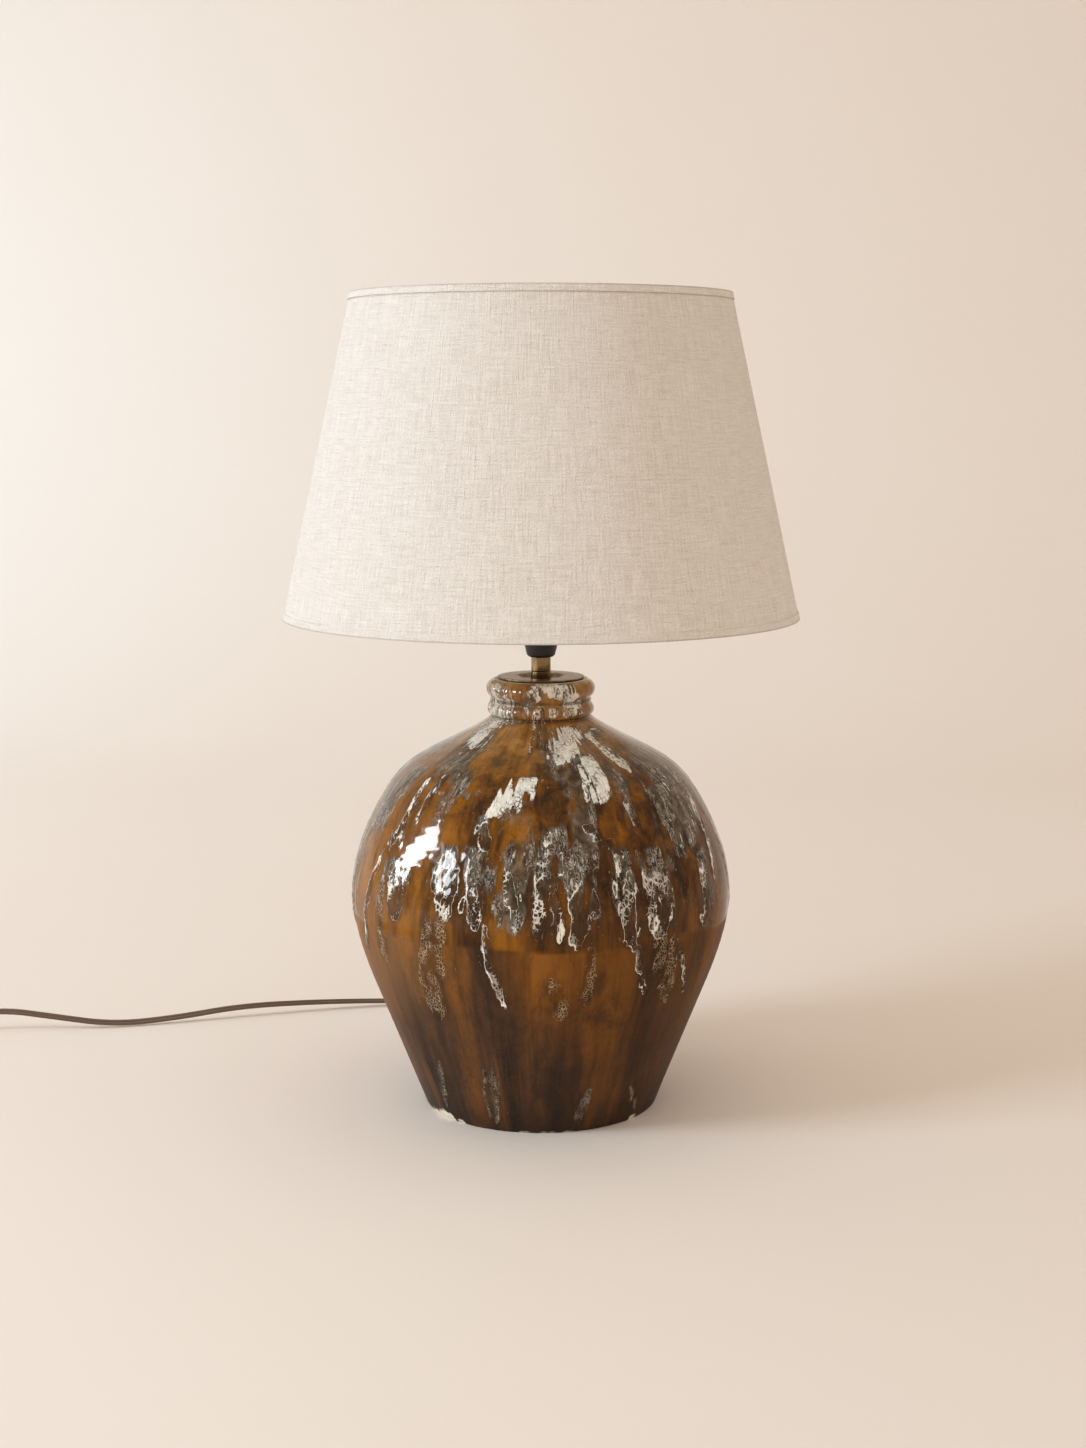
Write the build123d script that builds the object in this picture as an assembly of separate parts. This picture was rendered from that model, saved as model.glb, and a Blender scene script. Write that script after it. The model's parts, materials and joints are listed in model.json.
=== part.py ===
from build123d import *
import os
from math import cos, degrees, pi, radians, sin, sqrt, tan

# Ceramic table lamp: a hollow glazed jar, a brass fitting clamped in its mouth, a lamp holder with
# its bulb, a cone shade on a wire frame, and a twin cord with an in-line switch and a plug.
# Millimetres. +Z is up, the origin is the centre of the foot on the table, and the front is -Y.

# Clearances
glue_gap = 0.15
seat_gap = 0.3
thread_gap = 0.1
wall_gap = 0.2
pivot_gap = 0.05
pin_gap = 0.02

# Jar
jar_height = 338.0
foot_radius = 92.0
foot_round = 2.0
foot_ring_width = 13.0
foot_recess = 4.0
floor_thickness = 9.0
jar_wall = 8.0
lower_wall_radius = 125.5
lower_wall_height = 85.0
belly_radius = 148.5
belly_height = 168.0
shoulder_radius = 128.5
shoulder_height = 240.0
collarbone_radius = 77.0
collarbone_height = 286.0
neck_radius = 39.0
neck_length = 30.0
neck_bead_swell = 2.5
neck_bead_foot = 2.0
neck_bead_height = 10.0
lip_swell = 3.4
lip_height = 13.5
lip_crown = 6.0
mouth_radius = 29.0
mouth_round = 2.0

# Brass fitting in the mouth
gasket_thickness = 1.0
gasket_inset = 0.6
cap_radius = 34.0
cap_thickness = 1.0
cap_dish_radius = 19.5
cap_dish_depth = 2.2
cap_dish_slope = 5.5
tube_radius = 5.0
tube_bore = 3.8
tube_tail = 6.0
tube_grip = 10.0
collar_radius = 7.9
collar_height = 6.2
collar_chamfer = 0.5
sleeve_radius = 7.6
sleeve_height = 11.0
bar_length = 88.0
bar_width = 20.0
bar_thickness = 4.0
washer_radius = 9.5
washer_thickness = 1.6
nut_across_flats = 16.0
nut_height = 6.0

# Lamp holder for a 27 mm screw bulb
holder_wall = 2.0
holder_boss_radius = 10.6
holder_boss_round = 1.5
holder_boss_depth = 11.0
holder_cone_slope = 0.245
holder_cap_height = 33.0
holder_rim_radius = 20.5
holder_rim_height = 4.0
lock_screw_radius = 2.0
lock_screw_height = 5.5
lock_screw_length = 5.5
barrel_radius = 19.7
barrel_bore = 16.2
barrel_height = 34.0
barrel_flange_radius = 23.5
barrel_flange_thickness = 3.0
barrel_chamfer = 0.8
insert_radius = 15.5
insert_flange_radius = 17.6
insert_flange_thickness = 3.0
insert_height = 9.0
terminal_spacing = 16.0
terminal_size = 6.0
terminal_length = 9.0
terminal_screw_radius = 1.4
terminal_screw_depth = 3.0
terminal_head_radius = 2.4
terminal_head_height = 1.6
shell_bore = 13.7
shell_thickness = 0.5
shell_height = 22.0
shell_eye = 8.0
contact_thickness = 0.5
contact_width = 6.0
contact_rise = 5.0
contact_foot = 3.2
contact_half_length = 6.0
shade_ring_radius = 26.0
shade_ring_lip = 3.0
shade_ring_height = 8.0
shade_ring_wall = 3.0

# Bulb
bulb_radius = 30.0
bulb_length = 105.0
bulb_glass_wall = 0.8
bulb_neck_radius = 12.3
bulb_neck_top = 33.0
bulb_flank_angle = 28.0
bulb_cap_radius = 13.1
bulb_cap_height = 22.0
bulb_cap_wall = 0.4
bulb_cap_taper = 4.0
bulb_seal_depth = 5.0
bulb_tip_radius = 4.8
bulb_tip_height = 2.0
bulb_insulator_radius = 9.6
bulb_insulator_height = 3.0

# Shade
shade_bottom_radius = 199.4
shade_top_radius = 144.9
shade_height = 246.0
linen_thickness = 0.6
liner_thickness = 0.5
hem_thickness = 0.5
hem_depth = 5.4
hem_lap = 1.5
ring_wire_radius = 1.6
fitter_recess = 4.0
fitter_radius = 30.0
fitter_bore = 20.4
fitter_thickness = 1.8
arm_count = 3
arm_radius = 1.7
arm_root = 27.2
arm_bend = 62.0
arm_bend_radius = 40.0
seam_width = 11.0

# Cord and its way out of the jar
cord_radius = 2.7
exit_height = 34.0
exit_hole_radius = 5.5
grommet_flange_radius = 8.0
grommet_flange_thickness = 1.6
grommet_lock = 1.2
grommet_length = 20.0
grommet_tip_wall = 1.0
core_radius = 1.1
core_spacing = 2.7
core_bend_run = 2.0
inner_cord_rise = 2.0
inner_cord_entry = 36.0
inner_cord_bend = (34.0, 83.0)
inner_cord_upright = 158.0

# Coil of the length that is put away
coil_turn_pitch = 5.9
coil_layer_pitch = 5.9
coil_outer_radius = 36.6
coil_turns = 2
coil_lift = 1.2
tie_thickness = 0.8
tie_width = 4.0
tie_round = 2.0
tie_tail = 9.0

# In-line switch
switch_length = 60.0
switch_width = 27.0
switch_height = 17.0
switch_split = 8.0
switch_wall = 2.2
switch_end_radius = 11.0
switch_top_round = 2.5
switch_bottom_round = 1.0
switch_gland_length = 9.0
switch_cord_grip = 6.0
switch_cavity_round = 3.0
rocker_width = 10.4
rocker_radius = 11.0
rocker_tilt = 7.0
rocker_pivot_height = 12.6
rocker_middle_rise = 4.6
rocker_drop = 2.6
pivot_radius = 1.2
pivot_boss_width = 3.0
pivot_boss_length = 6.0
pivot_boss_drop = 2.4
switch_screw_x = 7.5
switch_screw_y = 24.5
switch_screw_radius = 1.4
switch_screw_length = 10.0
switch_head_radius = 2.6
switch_head_height = 1.8
terminal_block_width = 7.0
terminal_block_length = 8.0
terminal_block_height = 4.5
terminal_block_offset = 13.0

# Plug
plug_width = 35.0
plug_flat_width = 26.0
plug_thickness = 13.7
plug_length = 36.0
plug_front = 11.0
plug_waist = 15.0
plug_side_hollow = 2.0
plug_relief_length = 22.0
plug_relief_radius = 5.6
plug_relief_wall = 1.2
plug_relief_groove = 0.8
plug_relief_ribs = 4
plug_cord_grip = 6.0
plug_pin_radius = 2.0
plug_pin_length = 19.0
plug_pin_depth = 9.0
plug_pin_root_radius = 1.5
plug_pin_spacing = 19.0
plug_pin_chamfer = 0.6

# Where the cord's pieces lie on the table
cord_line_x = -566.0
switch_y = 70.0
coil_y = -30.0
plug_face_y = -146.0

# The lead's way over the table, from the grommet's tip to the switch, after its first two points
lead_route = [
    (-9, 193, 5.5),
    (-38, 231, 3.2),
    (-88, 253, 3.4),
    (-146, 250, 6.5),
    (-209, 232, 12.5),
    (-272, 212, 13.0),
    (-328, 195, 5.0),
    (-381, 181, 3.0),
    (-432, 175, 12.0),
    (-480, 171, 20.0),
    (-524, 163, 12.5),
    (-553, 146, 7.0),
]
lead_first_run = 30.0
lead_last_run = 24.0
middle_end_run = 20.0
tail_end_run = 15.0

# Heights of the stack, from the lip up
lip_top = jar_height
neck_root = jar_height - neck_length
gasket_top = lip_top + gasket_thickness
cap_top = gasket_top + cap_thickness
dish_floor = cap_top - cap_dish_depth
collar_top = dish_floor + collar_height
holder_base = collar_top + sleeve_height
tube_top = holder_base + tube_grip
holder_cap_top = holder_base + holder_cap_height
fitter_seat = holder_cap_top + barrel_flange_thickness
fitter_top = fitter_seat + fitter_thickness
insert_top = holder_cap_top + insert_height
bulb_base = insert_top + contact_rise
shade_bottom = fitter_seat - fitter_recess
shade_top = shade_bottom + shade_height
lock_screw_centre = holder_base + lock_screw_height
terminal_bottom = holder_cap_top - terminal_length
terminal_middle = terminal_bottom + terminal_length / 2
insulator_bottom = bulb_base + bulb_tip_height
bulb_cap_bottom = insulator_bottom + bulb_insulator_height
bulb_cap_top = bulb_cap_bottom + bulb_cap_height
inner_cord_top = holder_base + holder_boss_depth + inner_cord_rise

# Depths of the shade's layers inside the linen's face, and heights of its edges and rim wires
shade_lean = (shade_bottom_radius - shade_top_radius) / shade_height
linen_bottom = shade_bottom + hem_thickness + glue_gap
linen_top = shade_top - hem_thickness - glue_gap
liner_depth = linen_thickness + glue_gap
wire_depth = liner_depth + liner_thickness + glue_gap
hem_inner_depth = wire_depth + 2 * ring_wire_radius + glue_gap
bottom_wire_height = linen_bottom + ring_wire_radius
top_wire_height = linen_top - ring_wire_radius

# Places along the cord's line on the table
cord_diameter = 2 * cord_radius
switch_far = switch_y + switch_length / 2
switch_near = switch_y - switch_length / 2
switch_location = Pos(cord_line_x, switch_y, 0)
coil_x = cord_line_x + coil_outer_radius
coil_low = coil_lift + cord_radius
coil_high = coil_low + coil_layer_pitch
plug_middle = plug_thickness / 2
plug_tip_y = plug_face_y + plug_length + plug_relief_length
plug_location = Pos(cord_line_x, plug_face_y, 0)


def outline(*lines):
    """The face inside a closed chain of (radius, height) lines, standing in the XZ plane."""
    return Plane.XZ * make_face(Curve() + list(lines))


def turned(*points):
    """A solid turned about the lamp's axis from a closed run of straight (radius, height) lines."""
    return revolve(outline(Polyline(*points, close=True)), Axis.Z)


def ring(inner, outer, bottom, top):
    """A plain ring about the lamp's axis."""
    return turned((inner, bottom), (outer, bottom), (outer, top), (inner, top))


def rod(radius, length, along=(0, 0, 1), start=(0, 0, 0)):
    """A round bar from a point, along a direction."""
    return extrude(Plane(start, z_dir=along) * Circle(radius), length)


def share_at(curve, value, measure, low=0.0, high=1.0):
    """The share of a profile curve, between low and high, where its measure reaches a value."""
    rising = measure(curve @ high) > measure(curve @ low)
    for _ in range(50):
        middle = (low + high) / 2
        if (measure(curve @ middle) < value) == rising:
            low = middle
        else:
            high = middle
    return (low + high) / 2


def radius_of(point):
    return point.X


def height_of(point):
    return point.Y


# The jar's outside, a spline through its stations from the foot to the root of the neck
foot_lean = (lower_wall_radius - foot_radius, lower_wall_height)
outer_stations = [
    (foot_radius, 0.0),
    (lower_wall_radius, lower_wall_height),
    (belly_radius, belly_height),
    (shoulder_radius, shoulder_height),
    (collarbone_radius, collarbone_height),
    (neck_radius, neck_root),
]
outer_curve = Spline(*outer_stations, tangents=[foot_lean, (0, 1)])


def inside_station(height):
    """The point one wall's thickness inside the outer curve at a height, square to the surface."""
    share = share_at(outer_curve, height, height_of)
    place = outer_curve @ share
    run = outer_curve % share
    return (place.X - jar_wall * run.Y, place.Y + jar_wall * run.X)


# The jar's inside, one wall's thickness in from the same stations
inner_floor = foot_recess + floor_thickness
floor_edge = inside_station(inner_floor)[0]
inner_stations = [(floor_edge, inner_floor)]
inner_stations += [inside_station(height) for _, height in outer_stations[1:-1]]
inner_stations += [(mouth_radius, neck_root)]
inner_curve = Spline(*inner_stations, tangents=[foot_lean, (0, 1)])

# The cross bar's seat under the shoulder, where the ends of the bar meet the inside of the jar
inner_belly = share_at(inner_curve, belly_height, height_of)
bar_share = share_at(inner_curve, bar_length / 2, radius_of, low=inner_belly)
bar_top = (inner_curve @ bar_share).Y - seat_gap
washer_top = bar_top - bar_thickness
nut_top = washer_top - washer_thickness
tube_bottom = nut_top - nut_height - tube_tail

# The cord's hole, square to the wall at the back of the jar
exit_share = share_at(outer_curve, exit_height, height_of)
exit_point = outer_curve @ exit_share
exit_run = outer_curve % exit_share
exit_plane = Plane((0, exit_point.X, exit_point.Y), x_dir=(1, 0, 0), z_dir=(0, exit_run.Y, -exit_run.X))


def ceramic_jar():
    bead_bottom = neck_root + neck_bead_foot
    bead_top = bead_bottom + neck_bead_height
    lip_bottom = lip_top - lip_height
    lip_edge = neck_radius + lip_swell - lip_crown
    bead = ThreePointArc(
        (neck_radius, bead_bottom),
        (neck_radius + neck_bead_swell, (bead_bottom + bead_top) / 2),
        (neck_radius, bead_top),
    )
    lip = ThreePointArc(
        (neck_radius, lip_bottom),
        (neck_radius + lip_swell, lip_top - lip_height / 2),
        (lip_edge, lip_top),
    )
    mouth_edge = mouth_radius + mouth_round
    mouth = RadiusArc((mouth_edge, lip_top), (mouth_radius, lip_top - mouth_round), -mouth_round)
    foot = Polyline(
        (floor_edge, inner_floor),
        (0, inner_floor),
        (0, foot_recess),
        (foot_radius - foot_ring_width, foot_recess),
        (foot_radius - foot_ring_width, 0),
        (foot_radius, 0),
    )
    walls = [
        outer_curve,
        Line((neck_radius, neck_root), (neck_radius, bead_bottom)),
        bead,
        Line((neck_radius, bead_top), (neck_radius, lip_bottom)),
        lip,
        Line((lip_edge, lip_top), (mouth_edge, lip_top)),
        mouth,
        Line((mouth_radius, lip_top - mouth_round), (mouth_radius, neck_root)),
        inner_curve,
        foot,
    ]
    jar = revolve(outline(*walls), Axis.Z)
    circles = jar.edges().filter_by(GeomType.CIRCLE)
    foot_edge = circles.group_by(Axis.Z)[0].sort_by(SortBy.RADIUS)[-1]
    jar = fillet(foot_edge, foot_round)
    return jar - exit_plane * Cylinder(exit_hole_radius, 4 * jar_wall)


def cord_grommet():
    sleeve = exit_hole_radius - wall_gap
    bore = cord_radius + wall_gap
    hollow = (sleeve + grommet_lock) ** 2 / (2 * (exit_point.X - jar_wall))
    lock_top = -jar_wall - hollow - glue_gap
    lock_bottom = lock_top - grommet_flange_thickness
    flange_top = glue_gap + grommet_flange_thickness
    profile = [
        (bore, lock_bottom),
        (sleeve + grommet_lock, lock_bottom),
        (sleeve + grommet_lock, lock_top),
        (sleeve, lock_top),
        (sleeve, glue_gap),
        (grommet_flange_radius, glue_gap),
        (grommet_flange_radius, flange_top),
        (sleeve, flange_top),
        (bore + grommet_tip_wall, grommet_length),
        (bore, grommet_length),
    ]
    return exit_plane * turned(*profile)


def cap_gasket():
    return ring(mouth_radius + mouth_round, cap_radius - gasket_inset, lip_top, gasket_top)


def vase_cap():
    hole = tube_radius + thread_gap
    dish_foot = cap_dish_radius - cap_dish_slope
    bead = cap_thickness / 2
    profile = [
        (hole, dish_floor - cap_thickness),
        (dish_foot, dish_floor - cap_thickness),
        (cap_dish_radius, gasket_top),
        (cap_radius - bead, gasket_top),
        (cap_radius, gasket_top + bead / 2),
        (cap_radius, cap_top - bead / 2),
        (cap_radius - bead, cap_top),
        (cap_dish_radius, cap_top),
        (dish_foot, dish_floor),
        (hole, dish_floor),
    ]
    return turned(*profile)


def threaded_tube():
    return ring(tube_bore, tube_radius, tube_bottom, tube_top)


def lock_collar():
    collar = ring(tube_radius + thread_gap, collar_radius, dish_floor, collar_top)
    rims = collar.edges().filter_by(GeomType.CIRCLE).group_by(SortBy.RADIUS)[-1]
    return chamfer(rims, collar_chamfer)


def neck_sleeve():
    return ring(tube_radius + seat_gap, sleeve_radius, collar_top, holder_base)


def toggle_bar():
    plan = SlotOverall(bar_length, bar_width) - Circle(tube_radius + seat_gap)
    return Pos(0, 0, bar_top - bar_thickness) * extrude(plan, bar_thickness)


def toggle_washer():
    return ring(tube_radius + seat_gap, washer_radius, nut_top, washer_top)


def toggle_nut():
    hexagon = RegularPolygon(nut_across_flats / 2, 6, major_radius=False)
    return Pos(0, 0, nut_top - nut_height) * extrude(hexagon - Circle(tube_radius + thread_gap), nut_height)


def holder_cap():
    cone_height = holder_cap_height - holder_rim_height
    cone_radius = holder_boss_radius + holder_cone_slope * cone_height
    floor_radius = holder_boss_radius + holder_cone_slope * holder_boss_depth - holder_wall
    rim_inner = insert_radius + seat_gap
    bore = tube_radius + thread_gap
    profile = [
        (bore, holder_base),
        (holder_boss_radius - holder_boss_round, holder_base),
        (holder_boss_radius + holder_cone_slope * holder_boss_round, holder_base + holder_boss_round),
        (cone_radius, holder_base + cone_height),
        (holder_rim_radius, holder_base + cone_height),
        (holder_rim_radius, holder_cap_top),
        (rim_inner, holder_cap_top),
        (cone_radius - holder_wall, holder_base + cone_height),
        (floor_radius, holder_base + holder_boss_depth),
        (bore, holder_base + holder_boss_depth),
    ]
    screw_hole = rod(lock_screw_radius + thread_gap, holder_rim_radius, (0, 1, 0), (0, 0, lock_screw_centre))
    return turned(*profile) - screw_hole


def holder_lock_screw():
    return rod(lock_screw_radius, lock_screw_length, (0, 1, 0), (0, tube_radius + pin_gap, lock_screw_centre))


def holder_barrel():
    flange_top = holder_cap_top + barrel_flange_thickness
    seat = holder_cap_top + insert_flange_thickness + pin_gap
    top = holder_cap_top + barrel_height
    counterbore = insert_flange_radius + seat_gap
    profile = [
        (counterbore, holder_cap_top),
        (barrel_flange_radius, holder_cap_top),
        (barrel_flange_radius, flange_top),
        (barrel_radius, flange_top),
        (barrel_radius, top - barrel_chamfer),
        (barrel_radius - barrel_chamfer, top),
        (barrel_bore, top),
        (barrel_bore, seat),
        (counterbore, seat),
    ]
    return turned(*profile)


def holder_insert():
    flange_top = holder_cap_top + insert_flange_thickness
    profile = [
        (0, holder_cap_top),
        (insert_flange_radius, holder_cap_top),
        (insert_flange_radius, flange_top),
        (insert_radius, flange_top),
        (insert_radius, insert_top),
        (0, insert_top),
    ]
    return turned(*profile)


def screw_shell():
    outer = shell_bore + shell_thickness
    floor = insert_top + shell_thickness
    profile = [
        (shell_eye, insert_top),
        (outer, insert_top),
        (outer, insert_top + shell_height),
        (shell_bore, insert_top + shell_height),
        (shell_bore, floor),
        (shell_eye, floor),
    ]
    return turned(*profile)


def centre_contact():
    """A bent strip: a foot on the insert, a slope, and a pad under the bulb's tip."""
    under = contact_rise - contact_thickness
    slope_end = contact_foot - contact_half_length + contact_thickness
    strip = Polyline(
        (-contact_half_length, 0),
        (contact_foot - contact_half_length, 0),
        (slope_end + contact_foot / 2, under),
        (contact_half_length, under),
        (contact_half_length, contact_rise),
        (slope_end + contact_foot / 2 - contact_thickness, contact_rise),
        (contact_foot - contact_half_length - contact_thickness, contact_thickness),
        (-contact_half_length, contact_thickness),
        close=True,
    )
    return Pos(0, 0, insert_top) * extrude(Plane.XZ * make_face(strip), contact_width / 2, both=True)


def holder_terminals():
    blocks = []
    for side in (-1, 1):
        centre = side * terminal_spacing / 2
        block = Pos(centre, 0, terminal_middle) * Box(terminal_size, terminal_size, terminal_length)
        face = (centre + side * terminal_size / 2, 0, terminal_middle)
        hole = rod(terminal_screw_radius + thread_gap, terminal_screw_depth, (-side, 0, 0), face)
        blocks.append(block - hole)
    return Part() + blocks


def terminal_screws():
    screws = []
    for side in (-1, 1):
        face = side * (terminal_spacing + terminal_size) / 2
        head = rod(terminal_head_radius, terminal_head_height, (side, 0, 0), (face, 0, terminal_middle))
        depth = terminal_screw_depth - pin_gap
        shank = rod(terminal_screw_radius, depth, (-side, 0, 0), (face, 0, terminal_middle))
        screws.append(head + shank)
    return Part() + screws


def shade_ring():
    bore = barrel_radius + wall_gap
    lip_top_height = fitter_top + shade_ring_lip
    ring_top = fitter_top + shade_ring_height
    profile = [
        (bore, fitter_top),
        (shade_ring_radius, fitter_top),
        (shade_ring_radius, lip_top_height),
        (bore + shade_ring_wall, lip_top_height),
        (bore + shade_ring_wall, ring_top),
        (bore, ring_top),
    ]
    return turned(*profile)


def bulb_tip():
    return ring(0, bulb_tip_radius, bulb_base, insulator_bottom)


def bulb_insulator():
    profile = [
        (0, insulator_bottom),
        (bulb_tip_radius, insulator_bottom),
        (bulb_insulator_radius, bulb_cap_bottom),
        (0, bulb_cap_bottom),
    ]
    return turned(*profile)


def bulb_cap():
    inner = bulb_cap_radius - bulb_cap_wall
    taper_top = bulb_cap_bottom + bulb_cap_taper
    eye = bulb_insulator_radius - 2 * bulb_cap_wall
    profile = [
        (eye, bulb_cap_bottom),
        (bulb_insulator_radius, bulb_cap_bottom),
        (bulb_cap_radius, taper_top),
        (bulb_cap_radius, bulb_cap_top),
        (inner, bulb_cap_top),
        (inner, taper_top),
        (eye, bulb_cap_bottom + bulb_cap_wall),
    ]
    return turned(*profile)


def bulb_side(inset):
    """The bulb's wall from its crown down to its neck, as lines an inset inside the glass."""
    ball = bulb_radius - inset
    neck = bulb_neck_radius - inset
    centre = bulb_base + bulb_length - bulb_radius
    neck_top = bulb_base + bulb_neck_top
    lean = radians(bulb_flank_angle)
    flank_top = (ball * cos(lean), centre - ball * sin(lean))
    crown = ThreePointArc((0, centre + ball), (ball * sin(pi / 4), centre + ball * cos(pi / 4)), flank_top)
    flank = Spline(flank_top, (neck, neck_top), tangents=[(-sin(lean), -cos(lean)), (0, -1)])
    return [crown, flank, Line((neck, neck_top), (neck, bulb_cap_top - bulb_seal_depth))]


def bulb_glass():
    crown_top = bulb_base + bulb_length
    bottom = bulb_cap_top - bulb_seal_depth
    rim = Line((bulb_neck_radius, bottom), (bulb_neck_radius - bulb_glass_wall, bottom))
    crown_wall = Line((0, crown_top), (0, crown_top - bulb_glass_wall))
    return revolve(outline(*bulb_side(0), *bulb_side(bulb_glass_wall), rim, crown_wall), Axis.Z)


def on_shade(depth, height):
    """The point of the shade's section that lies a depth inside the linen's face, at a height."""
    share = (height - shade_bottom) / shade_height
    return (shade_bottom_radius + share * (shade_top_radius - shade_bottom_radius) - depth, height)


def shade_layer(near, far, bottom, top):
    """One cone layer of the shade between two depths."""
    return turned(on_shade(near, bottom), on_shade(far, bottom), on_shade(far, top), on_shade(near, top))


def wire_centre(height):
    """The radius of a rim wire's centre line, one glue gap inside the liner."""
    return on_shade(wire_depth + ring_wire_radius * sqrt(1 + shade_lean**2), height)[0]


def shade_linen():
    cone = shade_layer(0, linen_thickness, linen_bottom, linen_top)
    low = shade_bottom + hem_depth + seat_gap
    high = shade_top - hem_depth - seat_gap
    lap = Polyline(
        on_shade(-linen_thickness, low),
        on_shade(0, low),
        on_shade(0, high),
        on_shade(-linen_thickness, high),
        close=True,
    )
    seam = revolve(outline(lap), Axis.Z, revolution_arc=degrees(seam_width / shade_bottom_radius))
    return cone + Rot(0, 0, 90) * seam


def shade_liner():
    return shade_layer(liner_depth, liner_depth + liner_thickness, linen_bottom, linen_top)


def hem(edge, inward):
    """A folded tape round one rim: an outer leaf, the fold, and a short leaf inside the wire."""
    fold = edge + inward * hem_thickness
    outer_end = edge + inward * hem_depth
    inner_end = edge + inward * (hem_thickness + 2 * ring_wire_radius + hem_lap)
    profile = [
        on_shade(-glue_gap - hem_thickness, outer_end),
        on_shade(-glue_gap - hem_thickness, edge),
        on_shade(hem_inner_depth + hem_thickness, edge),
        on_shade(hem_inner_depth + hem_thickness, inner_end),
        on_shade(hem_inner_depth, inner_end),
        on_shade(hem_inner_depth, fold),
        on_shade(-glue_gap, fold),
        on_shade(-glue_gap, outer_end),
    ]
    return turned(*profile)


def rim_wire(height):
    return Pos(0, 0, height) * Torus(wire_centre(height), ring_wire_radius)


def arms(radius):
    """The frame's arms at a wire radius, from the fitter down to the bottom rim wire."""
    level = fitter_seat + fitter_thickness / 2
    root = (arm_root, 0, level)
    rim = (wire_centre(bottom_wire_height), 0, bottom_wire_height)
    path = FilletPolyline(root, (arm_bend, 0, level), rim, radius=arm_bend_radius)
    arm = sweep(Plane(root, z_dir=(1, 0, 0)) * Circle(radius), path=path)
    return [Rot(0, 0, 90 + number * 360 / arm_count) * arm for number in range(arm_count)]


def top_ring():
    return rim_wire(top_wire_height)


def bottom_frame():
    fitter = ring(fitter_bore, fitter_radius, fitter_seat, fitter_top)
    return rim_wire(bottom_wire_height) + arms(arm_radius) + fitter


def top_hem():
    return hem(shade_top, -1)


def bottom_hem():
    return hem(shade_bottom, 1) - arms(arm_radius + seat_gap)


def cord_tube(name, points, radius=cord_radius):
    """A round tube along straight runs whose corners have the largest arcs that the runs allow."""
    points = [Vector(point) for point in points]
    radii = []
    for before, corner, after in zip(points, points[1:], points[2:]):
        turn = (corner - before).get_angle(after - corner)
        shorter = min((corner - before).length, (after - corner).length)
        radii.append(0.45 * shorter / tan(radians(turn) / 2))
    path = FilletPolyline(*points, radius=radii)
    tube = sweep(Plane(points[0], z_dir=points[1] - points[0]) * Circle(radius), path=path)
    share = tube.volume / (pi * radius**2 * path.length)
    print(f"{name}: length {path.length:.1f}, volume share {share:.4f}, radii {[round(r) for r in radii]}")
    return tube


def along_exit(distance):
    """A point on the cord hole's axis, a distance out from the jar's face."""
    return exit_plane.from_local_coords((0, 0, distance))


def inner_cord():
    """The cord inside the base, from the grommet's tip up through the tube into the holder."""
    route = [
        along_exit(grommet_length),
        along_exit(-inner_cord_entry),
        (0, *inner_cord_bend),
        (0, 0, inner_cord_upright),
        (0, 0, inner_cord_top),
    ]
    return cord_tube("inner_cord", route)


def cord_cores():
    """The cord's two cores, spread from its end to the holder's terminals."""
    cores = []
    for side in (-1, 1):
        near = side * core_spacing / 2
        far = side * terminal_spacing / 2
        route = [
            (near, 0, inner_cord_top),
            (near, 0, inner_cord_top + core_bend_run),
            (far, 0, terminal_bottom - core_bend_run),
            (far, 0, terminal_bottom),
        ]
        cores.append(cord_tube("cord_core", route, core_radius))
    return Part() + cores


def cord_lead():
    end = (cord_line_x, switch_far - switch_cord_grip, switch_split)
    before = (cord_line_x, switch_far - switch_cord_grip + lead_last_run, switch_split)
    start = along_exit(grommet_length)
    second = along_exit(grommet_length + lead_first_run)
    return cord_tube("cord_lead", [start, second, *lead_route, before, end])


def cord_middle():
    start = switch_near + switch_cord_grip
    end = coil_y + cord_diameter
    route = [
        (cord_line_x, start, switch_split),
        (cord_line_x, start - middle_end_run, switch_split),
        (cord_line_x, end + middle_end_run, coil_low),
        (cord_line_x, end, coil_low),
    ]
    return cord_tube("cord_middle", route)


def cord_tail():
    start = coil_y - cord_diameter
    end = plug_tip_y - plug_cord_grip
    route = [
        (cord_line_x, start, coil_high),
        (cord_line_x, start - tail_end_run, coil_high),
        (cord_line_x, end + tail_end_run, plug_middle),
        (cord_line_x, end, plug_middle),
    ]
    return cord_tube("cord_tail", route)


def coil_arcs():
    """One layer's arcs as (centre, radius, start angle, size): half turns, then a last quarter."""
    arcs = []
    edge = -coil_outer_radius
    radius = coil_outer_radius - coil_turn_pitch / 4
    for number in range(2 * coil_turns):
        inward = 1 if number % 2 == 0 else -1
        centre = edge + inward * radius
        arcs.append((centre, radius, 180 if inward == 1 else 0, 180))
        edge = centre + inward * radius
        radius -= coil_turn_pitch / 2
    arcs.append((edge + radius, radius, 180, 90))
    return arcs


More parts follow.
